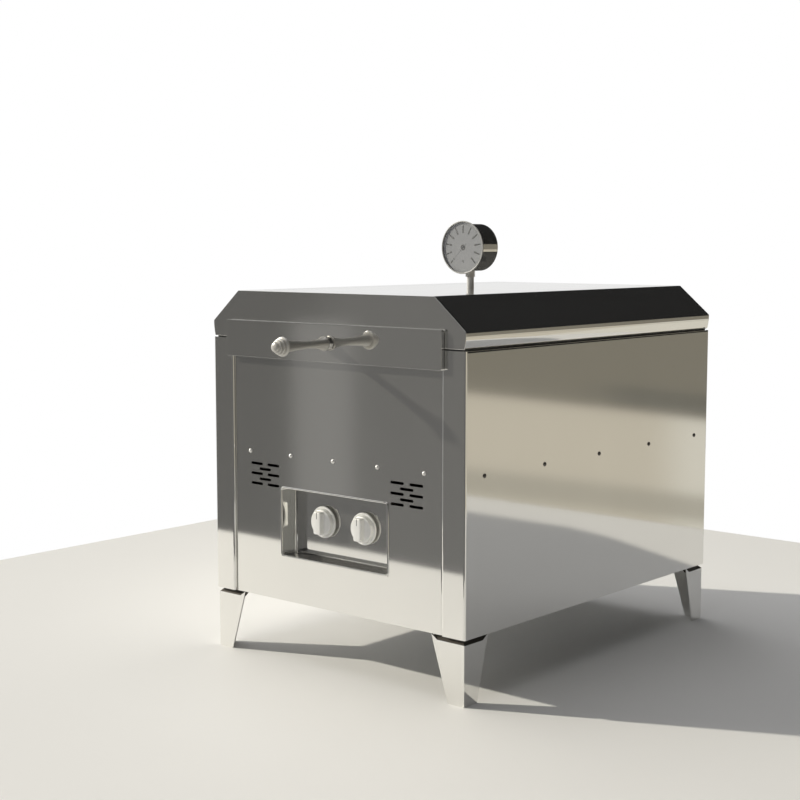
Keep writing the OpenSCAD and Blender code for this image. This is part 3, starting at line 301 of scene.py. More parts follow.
# Outside of the box from the middle of its back, rolled rim, flared wall, fillet, inside of the back
tray_rows = np.concatenate([
    [(tray_half[0], -tray_back), (tray_soft, -tray_back), (wall_outside, -rim_foot)],
    arc((-rim_out, rim_lift), rim_r, 180, 0, 9),
    [(wall_inside, -rim_foot), (wall_inside + 0.0001, -rim_foot - tray_soft)],
    [(wall_inset - 0.0001, tray_soft - wall_deep)],
    arc((wall_inset + tray_fillet, -wall_deep), tray_fillet, 180, 270, 7),
    [(wall_inset + tray_fillet + 0.0013, -tray_deep), (tray_half[0], -tray_deep)]])
tray = piece("control_tray_pressing", [rounded_rings(tray_half, tray_corner, tray_seat, tray_rows)],
             polished_steel("polished_tray", None, wall_lean))
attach(tray, "cabinet")
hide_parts("control_tray")

# Screws
# Domed stainless screws that hold the rails behind the front, the sides and the back. The ones at the
# sides are blackened.
steel_tint = (1.0, 0.99, 0.97)
oxide_dark, oxide_rubbed = (0.09, 0.086, 0.08, 1), (0.19, 0.18, 0.165, 1)


def tinted(level, tint):
    """Colour of one level, with each channel's share of it."""
    return tuple(level * share for share in tint) + (1.0,)


def satin_steel(name, metallic, low, high):
    """Brushed finish of two tones: fine lines along the sheet in the gloss and the bump."""
    material, shader, place = finish(name, {"Metallic": metallic})
    lines = place.stretched(1.0, 1.0, 40.0).noise(60.0, 3.0)
    cloud = place.noise(14.0, 2.0)
    cloud.between(tinted(low, steel_tint), tinted(high, steel_tint)).feed(shader, "Base Color")
    (0.20 + 0.12 * lines + 0.06 * cloud).feed(shader, "Roughness")
    dent(lines, 0.00002).feed(shader, "Normal")
    return material


def black_oxide():
    """Blackened steel: matt, with brownish rubbed patches."""
    material, shader, place = finish("black_oxide", {"Metallic": 0.75})
    rubbed = place.noise(45.0, 4.0)
    rubbed.between(oxide_dark, oxide_rubbed).feed(shader, "Base Color")
    (0.52 - 0.2 * rubbed).feed(shader, "Roughness")
    dent(place.noise(500.0, 3.0), 0.00004).feed(shader, "Normal")
    return material


satin = satin_steel("satin_steel", 1.0, 0.60, 0.70)
blackened = black_oxide()
dress(satin_steel("bright_screws", 0.3, 0.78, 0.86), "front_screws")
dress(satin, "rear_screws")
dress(blackened, "side_screws")

# Shelf rails and stone rack
# Zinc-coated angle rails screwed to the inside of the walls, and a blackened steel grid that lies on
# them and carries the stone.

dress(zinc, "left_shelf_rail", "right_shelf_rail", "front_shelf_rail", "rear_shelf_rail")
dress(blackened, "stone_rack")

# Pizza stone
# One slab of fired clay, unglazed and a little speckled, laid loose on the rack.
clay_dark, clay_light, clay_speck = (0.62, 0.50, 0.36, 1), (0.78, 0.67, 0.52, 1), (0.30, 0.22, 0.15, 1)


def fired_clay():
    """Warm buff with coarse clouds, fine dark specks and an open grain."""
    material, shader, place = finish("fired_clay", {"Metallic": 0.0})
    cloud = place.noise(18.0, 4.0)
    speck = place.noise(380.0, 2.0).rise(0.62, 0.70)
    warm = cloud.between(clay_dark, clay_light)
    (0.5 * speck).between(warm, clay_speck).feed(shader, "Base Color")
    (0.78 + 0.15 * cloud).feed(shader, "Roughness")
    dent(place.noise(700.0, 3.0), 0.0003).feed(shader, "Normal")
    return material


dress(fired_clay(), "pizza_stone")

# Chamber walls
# Four liner sheets hung from the rim of the cabinet round the cooking space, brushed and not polished.
# The one at the back has slots for the flue.

dress(satin, "left_chamber_wall", "right_chamber_wall", "front_chamber_wall", "rear_chamber_wall")

# Burners
# Two U-shaped tubes of aluminised steel with rows of ports, in two folded brackets on the base pan, and
# a shallow blackened roof over them that spreads the flame's heat.

dress(zinc, "left_burner", "right_burner", "burner_brackets")
dress(blackened, "heat_deflector")

# Gas train
# Square steel manifold, two brass valves with turning plugs, brass injectors, and a steel pipe to the
# brass bulkhead fitting in the back panel.
brass_dark, brass_light = (0.56, 0.40, 0.17, 1), (0.78, 0.60, 0.30, 1)


def machined_brass():
    """Turned brass: rings from the tool in the gloss and a slow tarnish."""
    material, shader, place = finish("machined_brass", {"Metallic": 1.0})
    tarnish = place.noise(55.0, 3.0)
    rings = place.stretched(1.0, 30.0, 1.0).noise(70.0, 1.0)
    tarnish.between(brass_dark, brass_light).feed(shader, "Base Color")
    (0.22 + 0.14 * tarnish + 0.08 * rings).feed(shader, "Roughness")
    dent(rings, 0.00002).feed(shader, "Normal")
    return material


dress(satin, "gas_manifold", "supply_pipe", "left_spindle", "right_spindle")
dress(machined_brass(), "left_valve_body", "right_valve_body", "left_valve_plug", "right_valve_plug",
      "injectors", "gas_inlet")

# Knobs
# Two cast aluminium cooker knobs, pressed on the flatted spindles. Each has a skirt with a bead, a
# raised face with sloping sides, and an upright grip bar with a dark line that marks its top.
knob_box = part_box("right_knob")
knob_x, knob_z = (knob_box[0].x + knob_box[1].x) / 2, (knob_box[0].z + knob_box[1].z) / 2
knob_y, bar_top = knob_box[1].y, knob_box[1].y - knob_box[0].y
knob_r, groove_r, face_r, face_h = 0.0230, 0.0200, 0.0193, 0.0084
bar_half, bar_corner, bar_draft, bar_edge, bar_crown = (0.00725, 0.0165), 0.0032, 0.0003, 0.0014, 0.0001
mark_half, mark_soft = 0.0006, 0.00005
mark_foot, mark_back = knob_z + 0.0064, knob_y - bar_top + 0.00045
casting_tint, mark_black = (1.0, 1.0, 0.985), (0.08, 0.08, 0.08, 1)


def turned(profile, centre, sides=96, closed=False):
    """Profile of (radius, distance) pairs carried round an axis that points to the front from the centre."""
    angle = np.linspace(0.0, 2.0 * np.pi, sides, endpoint=False)
    radius, distance = profile[:, :1], profile[:, 1:]
    points = np.stack([centre[0] + radius * np.cos(angle),
                       centre[1] - distance + 0.0 * angle,
                       centre[2] + radius * np.sin(angle)], axis=-1)
    return shell(points, True, closed)


def cast_aluminium(name, low, high):
    """Satin casting of two tones, with a fine even grain. A dark line marks the top of each grip bar."""
    material, shader, place = finish(name, {"Metallic": 0.15})
    x, y, z = place.axes()
    line = abs(x).near(knob_x, mark_half - mark_soft, mark_half + mark_soft)
    line = line * z.rise(mark_foot - 2 * mark_soft, mark_foot + 2 * mark_soft)
    line = line * y.fall(mark_back - mark_soft, mark_back + mark_soft)
    cloud = place.noise(120.0, 3.0)
    pale = cloud.between(tinted(low, casting_tint), tinted(high, casting_tint))
    line.between(pale, mark_black).feed(shader, "Base Color")
    (0.36 + 0.1 * cloud).feed(shader, "Roughness")
    dent(place.noise(900.0, 2.0), 0.00003).feed(shader, "Normal")
    return material


# Back of the skirt, its bead, the groove, the sloping side of the face and the face
knob_profile = np.array([
    (0.0, 0.0), (0.0226, 0.0), (knob_r, 0.0004), (knob_r, 0.0018), (0.02285, 0.0024), (0.0224, 0.0029),
    (0.0218, 0.0030), (0.0212, 0.0028), (0.0208, 0.0024), (0.0206, 0.0020), (0.0204, 0.0020),
    (groove_r, 0.0024), (face_r, 0.0074), (0.0191, 0.0080), (0.0186, face_h), (0.0182, face_h),
    (0.0090, face_h), (0.0, face_h)])

# Fillet on the face, sides with a little draft, round edge, and a top that is a trace crowned
bar_rows = np.concatenate([
    [(-0.0012, 0.0080), (-0.0012, 0.0085), (-0.0005, 0.0088), (-0.0001, 0.0094), (0.0, 0.0102)],
    [(bar_draft, 0.0150)],
    arc((bar_draft + bar_edge, bar_top - bar_crown - bar_edge), bar_edge, 180, 90, 7),
    [(0.0022, bar_top - bar_crown / 2), (0.0050, bar_top), (bar_half[0], bar_top)]])
aluminium = cast_aluminium("cast_aluminium", 0.77, 0.83)
for side, x in (("left", -knob_x), ("right", knob_x)):
    seat = (x, knob_y, knob_z)
    bar = rounded_rings(bar_half, bar_corner, seat, bar_rows)
    knob = piece(side + "_knob_casting", [turned(knob_profile, seat), bar], aluminium)
    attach(knob, side + "_control")
    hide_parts(side + "_knob")

# Seal and hinges
# Flat woven gasket glued to the rim of the cabinet, and two stainless butt hinges at the back with
# blackened pins, screwed to the back panel and the lid.
yarn_dark, yarn_light = (0.035, 0.035, 0.035, 1), (0.12, 0.12, 0.115, 1)


def woven_gasket():
    """Black yarn: crossing bands in the bump and the colour."""
    material, shader, place = finish("woven_gasket", {"Metallic": 0.0, "Roughness": 0.9})
    yarn = place.node("ShaderNodeTexWave", {"bands_direction": "DIAGONAL"},
                      {"Vector": place, "Scale": 420.0, "Distortion": 1.5}, 1)
    yarn.between(yarn_dark, yarn_light).feed(shader, "Base Color")
    dent(yarn, 0.0004).feed(shader, "Normal")
    return material


dress(woven_gasket(), "lid_seal")
dress(satin, "hinge_bases", "hinge_leaves")
dress(blackened, "hinge_pins")

# Lid
# Skin folded from one polished sheet: lips that curve in a little at the bottom, two chamfers and the
# top. End panels close it, and a brushed liner under a fibre blanket keeps the heat in.
lid_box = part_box("lid_skin")
lid_low, lid_top, lid_half_d = lid_box[0].z, lid_box[1].z, lid_box[1].y - mid_y
lid_half, lid_chamfer, lip_h, lip_tuck = 0.240, 0.0537, 0.0226, 0.0030
lid_bend = lid_low + lip_h
lid_sheet, lid_fold, foot_fold, fold_soft = 0.0015, 0.003, 0.0018, 0.0015
lip_from, lip_to, foot_reach, knee_reach = 0.0026, 0.0022, 0.0040, 0.0056
roll_slope, roll_curve = 0.00393, 0.00651
pan_fold, pan_lap, pan_gap, pan_start = 0.0008, 0.003, 0.00005, 0.2
pan_pole, pan_hold = (0.0, 0.51), 0.012
flange_w, flange_gap, flange_lift = 0.014, 0.0003, 0.0002
felt_dark, felt_light = (0.70, 0.66, 0.55, 1), (0.90, 0.88, 0.80, 1)


def fibre_blanket():
    """Pale felted fibres: streaks that lie every way, and a soft nap."""
    material, shader, place = finish("fibre_blanket", {"Metallic": 0.0, "Roughness": 0.95})
    felt = place.stretched(3.0, 1.0, 1.0).noise(120.0, 5.0)
    felt.between(felt_dark, felt_light).feed(shader, "Base Color")
    dent(felt, 0.001).feed(shader, "Normal")
    return material


def lip_roll(place):
    """Extra roll of the lips: a parabola in height that leans up at the bend and down at the bottom edge."""
    z = place.axes()[2]
    drop = z.node("ShaderNodeMapRange", {}, {
        "Value": z, "From Min": lid_low, "From Max": lid_bend, "To Min": 1.0, "To Max": 0.0})
    return roll_slope * drop - roll_curve * (drop * drop)


def lip_x(z):
    """Half-width of the lip at a height: a parabola, upright at the top and tucked in at the bottom."""
    return lid_half - lip_tuck * (1.0 - (z - lid_low) / lip_h) ** 2


def folded(before, corner, after, radius):
    """Arc of the fold in a corner of a path: its points, and the directions from the arc's centre."""
    ways = np.array([before, after]) - corner
    ways = ways / np.linalg.norm(ways, axis=1, keepdims=True)
    opening = np.arccos(ways[0] @ ways[1]) / 2
    middle = ways.sum(axis=0) / np.linalg.norm(ways.sum(axis=0))
    centre = corner + middle * radius / np.sin(opening)
    ends = corner + ways * radius / np.tan(opening) - centre
    first, last = np.arctan2(ends[:, 1], ends[:, 0])
    sweep = (last - first + np.pi) % (2.0 * np.pi) - np.pi
    angle = first + sweep * np.linspace(0.0, 1.0, 11)
    out = np.stack([np.cos(angle), np.sin(angle)], axis=-1)
    return centre + radius * out, out


def lid_section(start):
    """Outline of the lid's end from that far along the bottom: foot fold, lip, the chamfer's two folds,
    mirrored. With it come the directions that point out of the sheet."""
    foot = np.array([lid_half - lip_tuck, lid_low])
    knee = np.array([lid_half, lid_bend])
    brow = np.array([lid_half - lid_chamfer, lid_top])
    z = np.linspace(lid_low + lip_from, lid_bend - lip_to, 12)
    lean = 2.0 * lip_tuck * (1.0 - (z - lid_low) / lip_h) / lip_h
    lip_out = np.stack([np.ones(len(z)), -lean], axis=-1) / np.hypot(1.0, lean)[:, None]
    slope = (brow - knee) / np.linalg.norm(brow - knee)
    slope_out = np.array([slope[1], -slope[0]])
    above_foot, below_knee = lid_low + foot_reach, lid_bend - knee_reach
    foot_arc, foot_out = folded((start, lid_low), foot, (lip_x(above_foot), above_foot), foot_fold)
    knee_arc, knee_out = folded((lip_x(below_knee), below_knee), knee, brow, lid_fold)
    brow_arc, brow_out = folded(knee, brow, (0.0, lid_top), lid_fold)
    points = np.concatenate([
        [(start, lid_low), foot_arc[0] - (fold_soft, 0.0)], foot_arc,
        np.stack([lip_x(z), z], axis=-1), knee_arc,
        [knee_arc[-1] + fold_soft * slope, brow_arc[0] - fold_soft * slope], brow_arc])
    outs = np.concatenate([
        [(0.0, -1.0), (0.0, -1.0)], foot_out, lip_out, knee_out, [slope_out, slope_out], brow_out])
    flip = np.array([-1.0, 1.0])
    return np.concatenate([points, points[::-1] * flip]), np.concatenate([outs, outs[::-1] * flip])


def at_depth(outline, y):
    """Outlines of X and Z set at a Y each: rows of points in space."""
    return np.stack([outline[..., 0], 0.0 * outline[..., 0] + y, outline[..., 1]], axis=-1)


def end_pan(face_y, seam_y):
    """Lid section with a round edge: the outline is drawn in by 1 - cos as it comes forward by sin, and
    then runs flat to a pole."""
    outline, outs = lid_section(pan_start)
    pole = np.array(pan_pole)
    angle = np.linspace(0.0, np.pi / 2, 10)
    inset = np.concatenate([[pan_lap, 0.0], pan_fold * (1.0 - np.cos(angle[1:]))])
    forward = np.concatenate([[0.0, 0.0], np.sin(angle[1:])])
    rims = outline - inset[:, None, None] * outs
    near = rims[-1] + pan_hold * (pole - rims[-1])
    rows = np.concatenate([[0.0 * outline + pole], rims, [near, 0.0 * outline + pole]])
    y = seam_y + (face_y - seam_y) * np.concatenate([[0.0], forward, [1.0, 1.0]])
    return shell(at_depth(rows, y[:, None]))


def pan_foot(face_y, seam_y):
    """Flange along the foot of a pan: a flat strip with its corners cut, carried from side to side."""
    back = seam_y + (seam_y - face_y) / pan_fold * (flange_w - pan_fold)
    low, high, reach = lid_low + flange_lift, lid_low + lid_sheet, lid_half - flange_w - flange_gap
    section = np.array([(seam_y, low), (back, low), (back, high), (seam_y, high)])
    middle = section.mean(axis=0)
    rows = np.stack([0.0 * section + middle, section, section, 0.0 * section + middle])
    x = np.array([-reach, -reach, reach, reach])[:, None] + 0.0 * rows[..., 0]
    return shell(np.stack([x, rows[..., 0], rows[..., 1]], axis=-1))


skin_out, skin_dirs = lid_section(lid_half - flange_w)
skin_in = skin_out - lid_sheet * skin_dirs
seams = mid_y + np.array([-1.0, 1.0]) * (lid_half_d - pan_fold)
skin_parts = [shell(at_depth(np.stack([np.concatenate([skin_out, skin_in[::-1]])] * 2), seams[:, None]))]
skin_parts += [shell(at_depth(np.stack([skin_out, skin_in]), y), False) for y in seams]
lid_pieces = {"lid_skin": piece("lid_sheet", skin_parts, polished_steel("polished_lid", None, lip_roll))}
for end, way, seam in (("front", -1.0, seams[0]), ("rear", 1.0, seams[1])):
    face_y, seam_y = mid_y + way * lid_half_d, seam + way * pan_gap
    pan_parts = [end_pan(face_y, seam_y), pan_foot(face_y, seam_y)]
    lid_pieces[f"lid_{end}_panel"] = piece(f"lid_{end}_pan", pan_parts, polished)
for node, part in lid_pieces.items():
    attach(part, "lid")
    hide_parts(node)
dress(satin, "lid_liner")
dress(fibre_blanket(), "lid_insulation")

# Handle
# Polished pan across the lid's front that hangs over the parting line. A stud through it carries a
# hexagon nut, a turned aluminium grip and a ringed finial with a domed button.
plate_box, grip_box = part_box("handle_plate"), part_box("handle_grip")
plate_seat = (0.0, plate_box[1].y, (plate_box[0].z + plate_box[1].z) / 2)
plate_half = (plate_box[1].x, plate_box[1].z - plate_seat[2])
plate_proud, plate_fold, plate_corner = plate_box[1].y - plate_box[0].y, 0.0002, 0.003
plate_gap, plate_soft = 0.0008, 0.0006
grip_seat, grip_l = (0.0, grip_box[1].y, plate_seat[2]), grip_box[1].y - grip_box[0].y
grip_edge, grip_waist_s = 0.003, 0.038
grip_waist_r, grip_bulge_r, grip_front_r = 0.00525, 0.01025, 0.00875
finial_seat = (0.0, grip_seat[1] - grip_l, grip_seat[2])
finial_rings = ((0.0135, 0.0, 0.006), (0.0114, 0.006, 0.004), (0.0093, 0.010, 0.004))
button_s, button_r, button_l, button_soft, dome_r, dome_sink = 0.014, 0.00625, 0.0034, 0.0004, 0.0125, 0.007
turning_tint = (1.0, 0.975, 0.92)


def turned_metal(name, metallic, low, high):
    """Turned metal of two tones: fine rings from the tool in the gloss, round an axis to the front."""
    material, shader, place = finish(name, {"Metallic": metallic})
    rings = place.stretched(0.2, 40.0, 0.2).noise(80.0, 2.0)
    cloud = place.noise(60.0, 2.0)
    cloud.between(tinted(low, turning_tint), tinted(high, turning_tint)).feed(shader, "Base Color")
    (0.26 + 0.08 * rings + 0.04 * cloud).feed(shader, "Roughness")
    dent(rings, 0.00001).feed(shader, "Normal")
    return material


def grip_profile():
    """Round edge up to the bulge, a cubic down to the waist, then a slow power curve out to the front."""
    edge = np.linspace(0.0, grip_edge, 8)[:-1]
    steep = np.linspace(grip_edge, grip_waist_s, 28)[:-1]
    slow = np.linspace(grip_waist_s, grip_l, 24)
    to_waist = (grip_waist_s - steep) / (grip_waist_s - grip_edge)
    to_front = (slow - grip_waist_s) / (grip_l - grip_waist_s)
    radius = np.concatenate([
        grip_bulge_r - grip_edge / 2 * (1.0 - np.sqrt(1.0 - (1.0 - edge / grip_edge) ** 2)),
        grip_waist_r + (grip_bulge_r - grip_waist_r) * to_waist ** 3,
        grip_waist_r + (grip_front_r - grip_waist_r) * to_front ** 1.3])
    along = np.concatenate([edge, steep, slow])
    return np.concatenate([[(0.0, 0.0)], np.stack([radius, along], axis=-1), [(0.0, grip_l)]])


def finial_profile():
    """Half-round edges of three rings, one before the other, then a button with a domed face."""
    rings = [arc((r - t / 2, s + t / 2), t / 2, -90, 90, 11) for r, s, t in finial_rings]
    button = [(button_r, button_s), (button_r, button_s + button_l),
              (button_r - 0.0001, button_s + button_l + button_soft)]
    dome = np.linspace(button_r - button_soft, 0.0, 9)
    cap = np.stack([dome, button_s - dome_sink + np.sqrt(dome_r ** 2 - dome ** 2)], axis=-1)
    return np.concatenate([[(0.0, 0.0)]] + rings + [button, cap])


plate_rows = np.concatenate([
    [(plate_half[0], plate_gap), (plate_soft, plate_gap), (0.0, plate_gap + plate_soft)],
    [(0.0, plate_proud - plate_fold - 0.0005)],
    arc((plate_fold, plate_proud - plate_fold), plate_fold, 180, 90, 7),
    [(plate_fold + 0.0008, plate_proud), (plate_half[0], plate_proud)]])
plate = piece("handle_plate_pressing", [rounded_rings(plate_half, plate_corner, plate_seat, plate_rows)],
              polished)
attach(plate, "lid")
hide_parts("handle_plate")
dress(satin, "handle_stud", "handle_nut")
grip = piece("handle_grip_turning", [turned(grip_profile(), grip_seat)],
             turned_metal("turned_grip", 0.6, 0.42, 0.50))
finial = piece("handle_finial_turning", [turned(finial_profile(), finial_seat)],
               turned_metal("turned_finial", 0.35, 0.60, 0.70))
for turning, node in ((grip, "handle_grip"), (finial, "handle_finial")):
    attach(turning, "lid")
    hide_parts(node)

# Gauge
# Dial thermometer on a stem through the lid: polished case, turned bezel, glass, grey dial with printed
# marks, and a thin needle, a shade darker than the dial, on a hub.
glass_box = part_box("gauge_lens")
gauge_seat = (0.0, mid_y, (glass_box[0].z + glass_box[1].z) / 2)
stem_r, stem_soft, stem_foot, stem_top = 0.0055, 0.0003, lid_top - 0.056, lid_top + 0.0168
case_r, case_edge, case_back = 0.0362, 0.001, -0.0225
dial_r, dial_back, dial_front = 0.0382, 0.0159, 0.0185
needle_back, needle_front, needle_turn = 0.01856, 0.01864, math.radians(-135.0)
needle_half, needle_tip, needle_tail, needle_l, hub_r = 0.0008, 0.00027, 0.008, 0.027, 0.003
mark_step, mark_count, mark_value, fine_count = 27.0, 11, 50, 51
mark_in, mark_out, mark_w = 0.0284, 0.0338, 0.0018
fine_in, fine_out, fine_w = 0.0346, 0.0360, 0.0004
number_size, number_r, unit_size, unit_r = 0.0040, 0.0250, 0.0042, 0.0215
print_t, print_bold, ring_in, ring_out = 0.00004, 0.00015, 0.0031, 0.0043
glass_grey, dial_tint = (0.3, 0.31, 0.31, 1), (1.0, 1.025, 1.08)
print_black, print_worn = (0.03, 0.03, 0.03, 1), (0.09, 0.09, 0.09, 1)


def clear_glass():
    """Thin clear pane with a few faint dust marks in its gloss."""
    material, shader, place = finish("gauge_glass", {"Metallic": 0.0, "IOR": 1.45, "Base Color": glass_grey})
    dust = place.noise(160.0, 4.0)
    (0.04 + 0.06 * dust).feed(shader, "Roughness")
    (0.015 + 0.02 * dust).feed(shader, "Alpha")
    return material


def matt_grey(name, low, high):
    """Matt grey paint of two tones with a trace of grain."""
    material, shader, place = finish(name, {"Metallic": 0.0})
    grain = place.noise(300.0, 3.0)
    grain.between(tinted(low, dial_tint), tinted(high, dial_tint)).feed(shader, "Base Color")
    (0.5 + 0.1 * grain).feed(shader, "Roughness")
    return material


def black_print():
    """Screen print: near black, a little worn away in specks."""
    material, shader, place = finish("dial_print", {"Metallic": 0.0})
    worn = place.noise(900.0, 2.0)
    worn.between(print_black, print_worn).feed(shader, "Base Color")
    (0.45 + 0.2 * worn).feed(shader, "Roughness")
    return material


def upright(profile, sides=64):
    """Profile of (radius, height) pairs carried round the upright axis of the stem."""
    angle = np.linspace(0.0, 2.0 * np.pi, sides, endpoint=False)
    radius, height = profile[:, :1], profile[:, 1:]
    return shell(np.stack([gauge_seat[0] + radius * np.cos(angle),
                           gauge_seat[1] + radius * np.sin(angle),
                           height + 0.0 * angle], axis=-1))


def ticks(degrees, inner, outer, width):
    """Thin bars on the dial, each from one radius to another at its angle from the top, to the right."""
    angle = np.radians(degrees)[:, None, None, None]
    along = np.array([inner, outer])[None, :, None, None]
    across = np.array([-width / 2, width / 2])[None, None, :, None]
    lift = np.array([-print_t, print_t])[None, None, None, :] + 0.0 * angle
    points = np.stack(np.broadcast_arrays(
        gauge_seat[0] + along * np.sin(angle) + across * np.cos(angle), gauge_seat[1] - dial_front - lift,
        gauge_seat[2] + along * np.cos(angle) - across * np.sin(angle)), axis=-1).reshape(-1, 3)
    box = np.array([(0, 1, 3, 2), (4, 6, 7, 5), (0, 4, 5, 1), (2, 3, 7, 6), (0, 2, 6, 4), (1, 5, 7, 3)])
    return points, (box[None] + 8 * np.arange(len(degrees))[:, None, None]).reshape(-1, 4).tolist()


def printed(words, size, radius, degrees, turn):
    """A word in plain letters, made a mesh, turned and laid on the dial at a radius and an angle."""
    curve = bpy.data.curves.new("print", "FONT")
    curve.body, curve.size, curve.extrude, curve.offset = words, size, print_t, print_bold
    curve.align_x, curve.align_y = "CENTER", "CENTER"
    letters = bpy.data.objects.new("print", curve)
    scene.collection.objects.link(letters)
    mesh = bpy.data.meshes.new_from_object(letters.evaluated_get(bpy.context.evaluated_depsgraph_get()))
    flat = np.empty(3 * len(mesh.vertices))
    mesh.vertices.foreach_get("co", flat)
    x, y, z = flat.reshape(-1, 3).T
    way, roll = math.radians(degrees), math.radians(turn)
    points = np.stack([gauge_seat[0] + radius * math.sin(way) + x * math.cos(roll) - y * math.sin(roll),
                       gauge_seat[1] - dial_front - z,
                       gauge_seat[2] + radius * math.cos(way) + x * math.sin(roll) + y * math.cos(roll)],
                      axis=-1)
    faces = [tuple(face.vertices) for face in mesh.polygons]
    bpy.data.objects.remove(letters)
    bpy.data.meshes.remove(mesh)
    bpy.data.curves.remove(curve)
    return points, faces


def needle_blade():
    """Flat outline from tail to tip, carried through the needle's thickness and turned from the top."""
    outline = np.array([
        (-needle_half, 0.0), (-needle_half, -needle_tail), (needle_half, -needle_tail), (needle_half, 0.0),
        (needle_tip, needle_l), (-needle_tip, needle_l)])
    across, along = np.stack([0.0 * outline, outline, outline, 0.0 * outline]).transpose(2, 0, 1)
    depth = np.array([needle_back, needle_back, needle_front, needle_front])[:, None]
    return shell(np.stack([
        gauge_seat[0] + across * math.cos(needle_turn) + along * math.sin(needle_turn),
        gauge_seat[1] - depth + 0.0 * across,
        gauge_seat[2] - across * math.sin(needle_turn) + along * math.cos(needle_turn)], axis=-1))


marks = mark_step * (np.arange(mark_count) - mark_count // 2)
fine_marks = np.linspace(marks[0], marks[-1], fine_count)
hub_ring = np.array([(ring_in, dial_front - print_t), (ring_out, dial_front - print_t),
                     (ring_out, dial_front + print_t), (ring_in, dial_front + print_t)])
dial_parts = [ticks(marks, mark_in, mark_out, mark_w), ticks(fine_marks, fine_in, fine_out, fine_w)]
dial_parts += [turned(hub_ring, gauge_seat, 48, True), printed("°C", unit_size, unit_r, 180.0, 0.0)]

# The numbers read along the radius, outwards on the right half and inwards on the left
for k, mark in enumerate(marks):
    turn = 90.0 - mark if mark >= 0.0 else -90.0 - mark
    dial_parts.append(printed(str(mark_value * k), number_size, number_r, mark, turn))
stem_profile = np.array([
    (0.0, stem_foot), (stem_r - stem_soft, stem_foot), (stem_r, stem_foot + stem_soft),
    (stem_r, lid_top + 0.0005), (stem_r, stem_top), (0.0, stem_top)])
case_profile = np.concatenate([
    [(0.0, case_back), (0.0340, case_back)],
    arc((case_r - case_edge, case_back + case_edge), case_edge, -90, 0, 7),
    [(case_r, case_back + 0.0025), (case_r, dial_back - 0.0014), (case_r, dial_back), (0.0, dial_back)]])
bezel_profile = np.array([
    (0.0383, 0.0204), (0.0388, 0.0203), (0.0386, 0.0186), (0.0358, dial_back), (0.0364, dial_back),
    (0.0404, 0.0199), (0.04049, 0.0203), (0.0404, 0.0207), (0.0401, 0.0210), (0.0396, 0.0211),
    (0.0388, 0.0210), (0.0384, 0.0207)])
dial_profile = np.array([
    (0.0, dial_back), (0.0355, dial_back), (dial_r, dial_front - 0.0001), (dial_r, dial_front),
    (0.0, dial_front)])
needle_hub = np.array([
    (0.0, needle_back), (hub_r, needle_back), (hub_r, needle_front), (0.0, needle_front)])
dress(satin, "gauge_nut")
dress(clear_glass(), "gauge_lens")
stem = piece("gauge_stem_turning", [upright(stem_profile)], satin_steel("bright_stem", 0.45, 0.66, 0.74))
case = piece("gauge_case_turning", [turned(case_profile, gauge_seat, 128)], polished)
bezel = piece("gauge_bezel_turning", [turned(bezel_profile, gauge_seat, 128, True)],
              cast_aluminium("dull_aluminium", 0.34, 0.38))
dial = piece("gauge_dial_plate", [turned(dial_profile, gauge_seat, 128)],
             matt_grey("printed_dial", 0.295, 0.33))
prints = piece("gauge_marks", dial_parts, black_print())
needle = piece("gauge_needle", [needle_blade(), turned(needle_hub, gauge_seat, 48)],
               matt_grey("painted_needle", 0.23, 0.26))
for part, slot in ((stem, "satin_steel"), (case, "polished_steel"), (bezel, "cast_aluminium"),
                   (dial, "dial_grey"), (prints, "dark_steel")):
    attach(part, "lid")
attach(needle, "pointer")
for part, node in ((stem, "gauge_stem"), (case, "gauge_case"), (bezel, "gauge_bezel"), (dial, "gauge_dial"),
                   (needle, "gauge_pointer")):
    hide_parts(node)

# Studio
# Pale plain floor, a warm key from the left of the front and a faint fill from straight ahead. The
# surround has a few plain tones, lightest low down and overhead, for the polished sheet to show.
floor_left, floor_right, floor_near, floor_far = -1.01, 1.6, -0.885, 1.03
floor_dark, floor_light = (0.79, 0.785, 0.77, 1), (0.82, 0.815, 0.80, 1)
key_colour, fill_colour = (1.0, 0.95, 0.83), (1.0, 1.0, 1.0)
white, black, lamp = (1.0, 1.0, 1.0, 1), (0.004, 0.004, 0.004, 1), (0.98, 0.98, 0.98, 1)
cap_left, cap_right = (1.7, 1.7, 1.71, 1), (0.65, 0.65, 0.655, 1)
tan_far, tan_low, tan_band = (0.722, 0.688, 0.593, 1), (0.602, 0.550, 0.447, 1), (0.413, 0.387, 0.318, 1)
tan_high, tan_line, tan_dark = (0.224, 0.206, 0.163, 1), (0.163, 0.155, 0.129, 1), (0.043, 0.041, 0.039, 1)
wing_light, wing_dark = (0.120, 0.118, 0.114, 1), (0.085, 0.084, 0.081, 1)
wing_near, wing_strip = (0.195, 0.192, 0.176, 1), (0.207, 0.204, 0.197, 1)
pale_low, pale_level = (0.903, 0.903, 0.894, 1), (0.840, 0.840, 0.835, 1)
grey_level = (0.117, 0.117, 0.113, 1)
right_start, right_end, near_end, far_end = (-0.3, 0.1), (1.95, 2.1), (2.28, 2.40), (0.515, 0.545)
line_end, dark_start, wing_split = (0.55, 0.60), (0.95, 1.2), (-2.40, -2.35)
tan_edge, strip_top, horizon = (-0.1045, -0.099), (-0.058, -0.047), (-0.01, 0.01)
ring_start, cap_start, cap_split = (0.145, 0.185), (1.02, 1.15), (-0.3, 0.3)


def sun(name, energy, spread, colour, pitch, turn):
    """Distant light of a strength and a spread, pitched up from straight down and turned, in degrees."""
    light = bpy.data.lights.new(name, "SUN")
    light.energy, light.angle, light.color = energy, math.radians(spread), colour
    thing = bpy.data.objects.new(name, light)
    thing.rotation_euler = (math.radians(pitch), 0.0, math.radians(turn))
    scene.collection.objects.link(thing)
    return thing


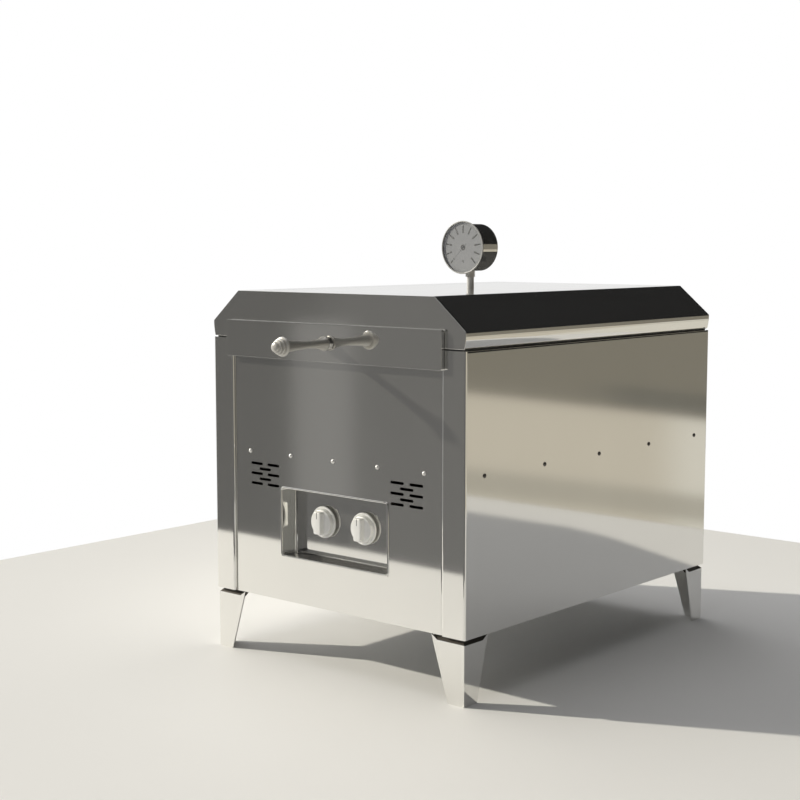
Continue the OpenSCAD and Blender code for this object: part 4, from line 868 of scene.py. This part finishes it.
def pale_floor():
    """Matt off-white with a slow haze."""
    material, shader, place = finish("pale_floor", {"Metallic": 0.0})
    haze = place.noise(2.0, 3.0)
    haze.between(floor_dark, floor_light).feed(shader, "Base Color")
    (0.65 + 0.1 * haze).feed(shader, "Roughness")
    return material


scene.view_settings.view_transform = "Standard"
floor_mesh = bpy.data.meshes.new("floor")
floor_mesh.from_pydata([(floor_left, floor_near, 0), (floor_right, floor_near, 0),
                        (floor_right, floor_far, 0), (floor_left, floor_far, 0)], [], [(0, 1, 2, 3)])
floor_mesh.materials.append(pale_floor())
floor = bpy.data.objects.new("floor", floor_mesh)
scene.collection.objects.link(floor)

sun("key", energy=3.45, spread=1.6, colour=key_colour, pitch=64.7, turn=-63.95)
fill = sun("fill", energy=0.6, spread=40.0, colour=fill_colour, pitch=86.0, turn=0.0)
fill.visible_glossy = False

world = bpy.data.worlds.new("surround")
world.use_nodes = True
scene.world = world
tree = world.node_tree
ray = Wire(tree, tree.nodes.new("ShaderNodeTexCoord").outputs["Generated"])
dx, dy, dz = ray.axes()

# Heading is the angle from the back towards the right, and height the angle above the horizon
heading = dx.math("ARCTAN2", dx, dy)
height = dz.math("ARCSINE", dz)

# Right: tan, lighter below a tilted edge, with a soft band under the edge and a thin line just above it
tilt = height - 0.1 * (heading - 0.665)
right = heading.rise(*right_start) * heading.fall(*right_end)
line = tilt.near(-0.092, 0.004, 0.009) * heading.fall(*line_end)
band = 0.85 * tilt.near(-0.161, 0.004, 0.013)
low_right = band.between(heading.fall(*far_end).between(tan_low, tan_far), tan_band)
high_right = heading.rise(*dark_start).between(line.between(tan_high, tan_line), tan_dark)
right_tone = tilt.rise(*tan_edge).between(low_right, high_right)

# Front: two dark greys, a lighter upright strip where they part, and a lighter stretch next to the right
wings = heading.rise(*wing_split).between(wing_light, wing_dark)
wings = (heading.rise(*right_end) * heading.fall(*near_end)).between(wings, wing_near)
strip = heading.near(-2.376, 0.013, 0.027) * height.fall(*strip_top)
front_tone = strip.between(wings, wing_strip)

# Back left: pale up to just above the horizon. Higher up a dark ring with a lamp on the left, then a cap
back_left = heading.near(-0.65, 0.7, 1.6)
ground = right.between(front_tone, right_tone)
ground = (back_left * (1.0 - right)).between(ground, pale_low)
level = right.between(back_left.between(grey_level, pale_level), high_right)
dim = heading.near(-1.45, 0.55, 0.80).between(black, lamp)
ring = height.rise(*ring_start).between(level, dim)
cap = dx.rise(*cap_split).between(cap_left, cap_right)
above = height.rise(*cap_start).between(ring, cap)
surround = height.rise(*horizon).between(ground, above)

# What the camera sees past the floor is plain white
seen = ray.node("ShaderNodeLightPath", {}, {}, 0)
seen.between(surround, white).feed(tree.nodes["Background"], "Color")

lens = bpy.data.cameras.new("camera")
lens.lens = 66.556
lens.sensor_width = 36.0
camera = bpy.data.objects.new("camera", lens)
camera.location = (1.41641, -1.75982, 0.61228)
camera.rotation_euler = (math.radians(90 - 6.0951), 0.0, math.radians(40.8524))
scene.collection.objects.link(camera)
scene.camera = camera
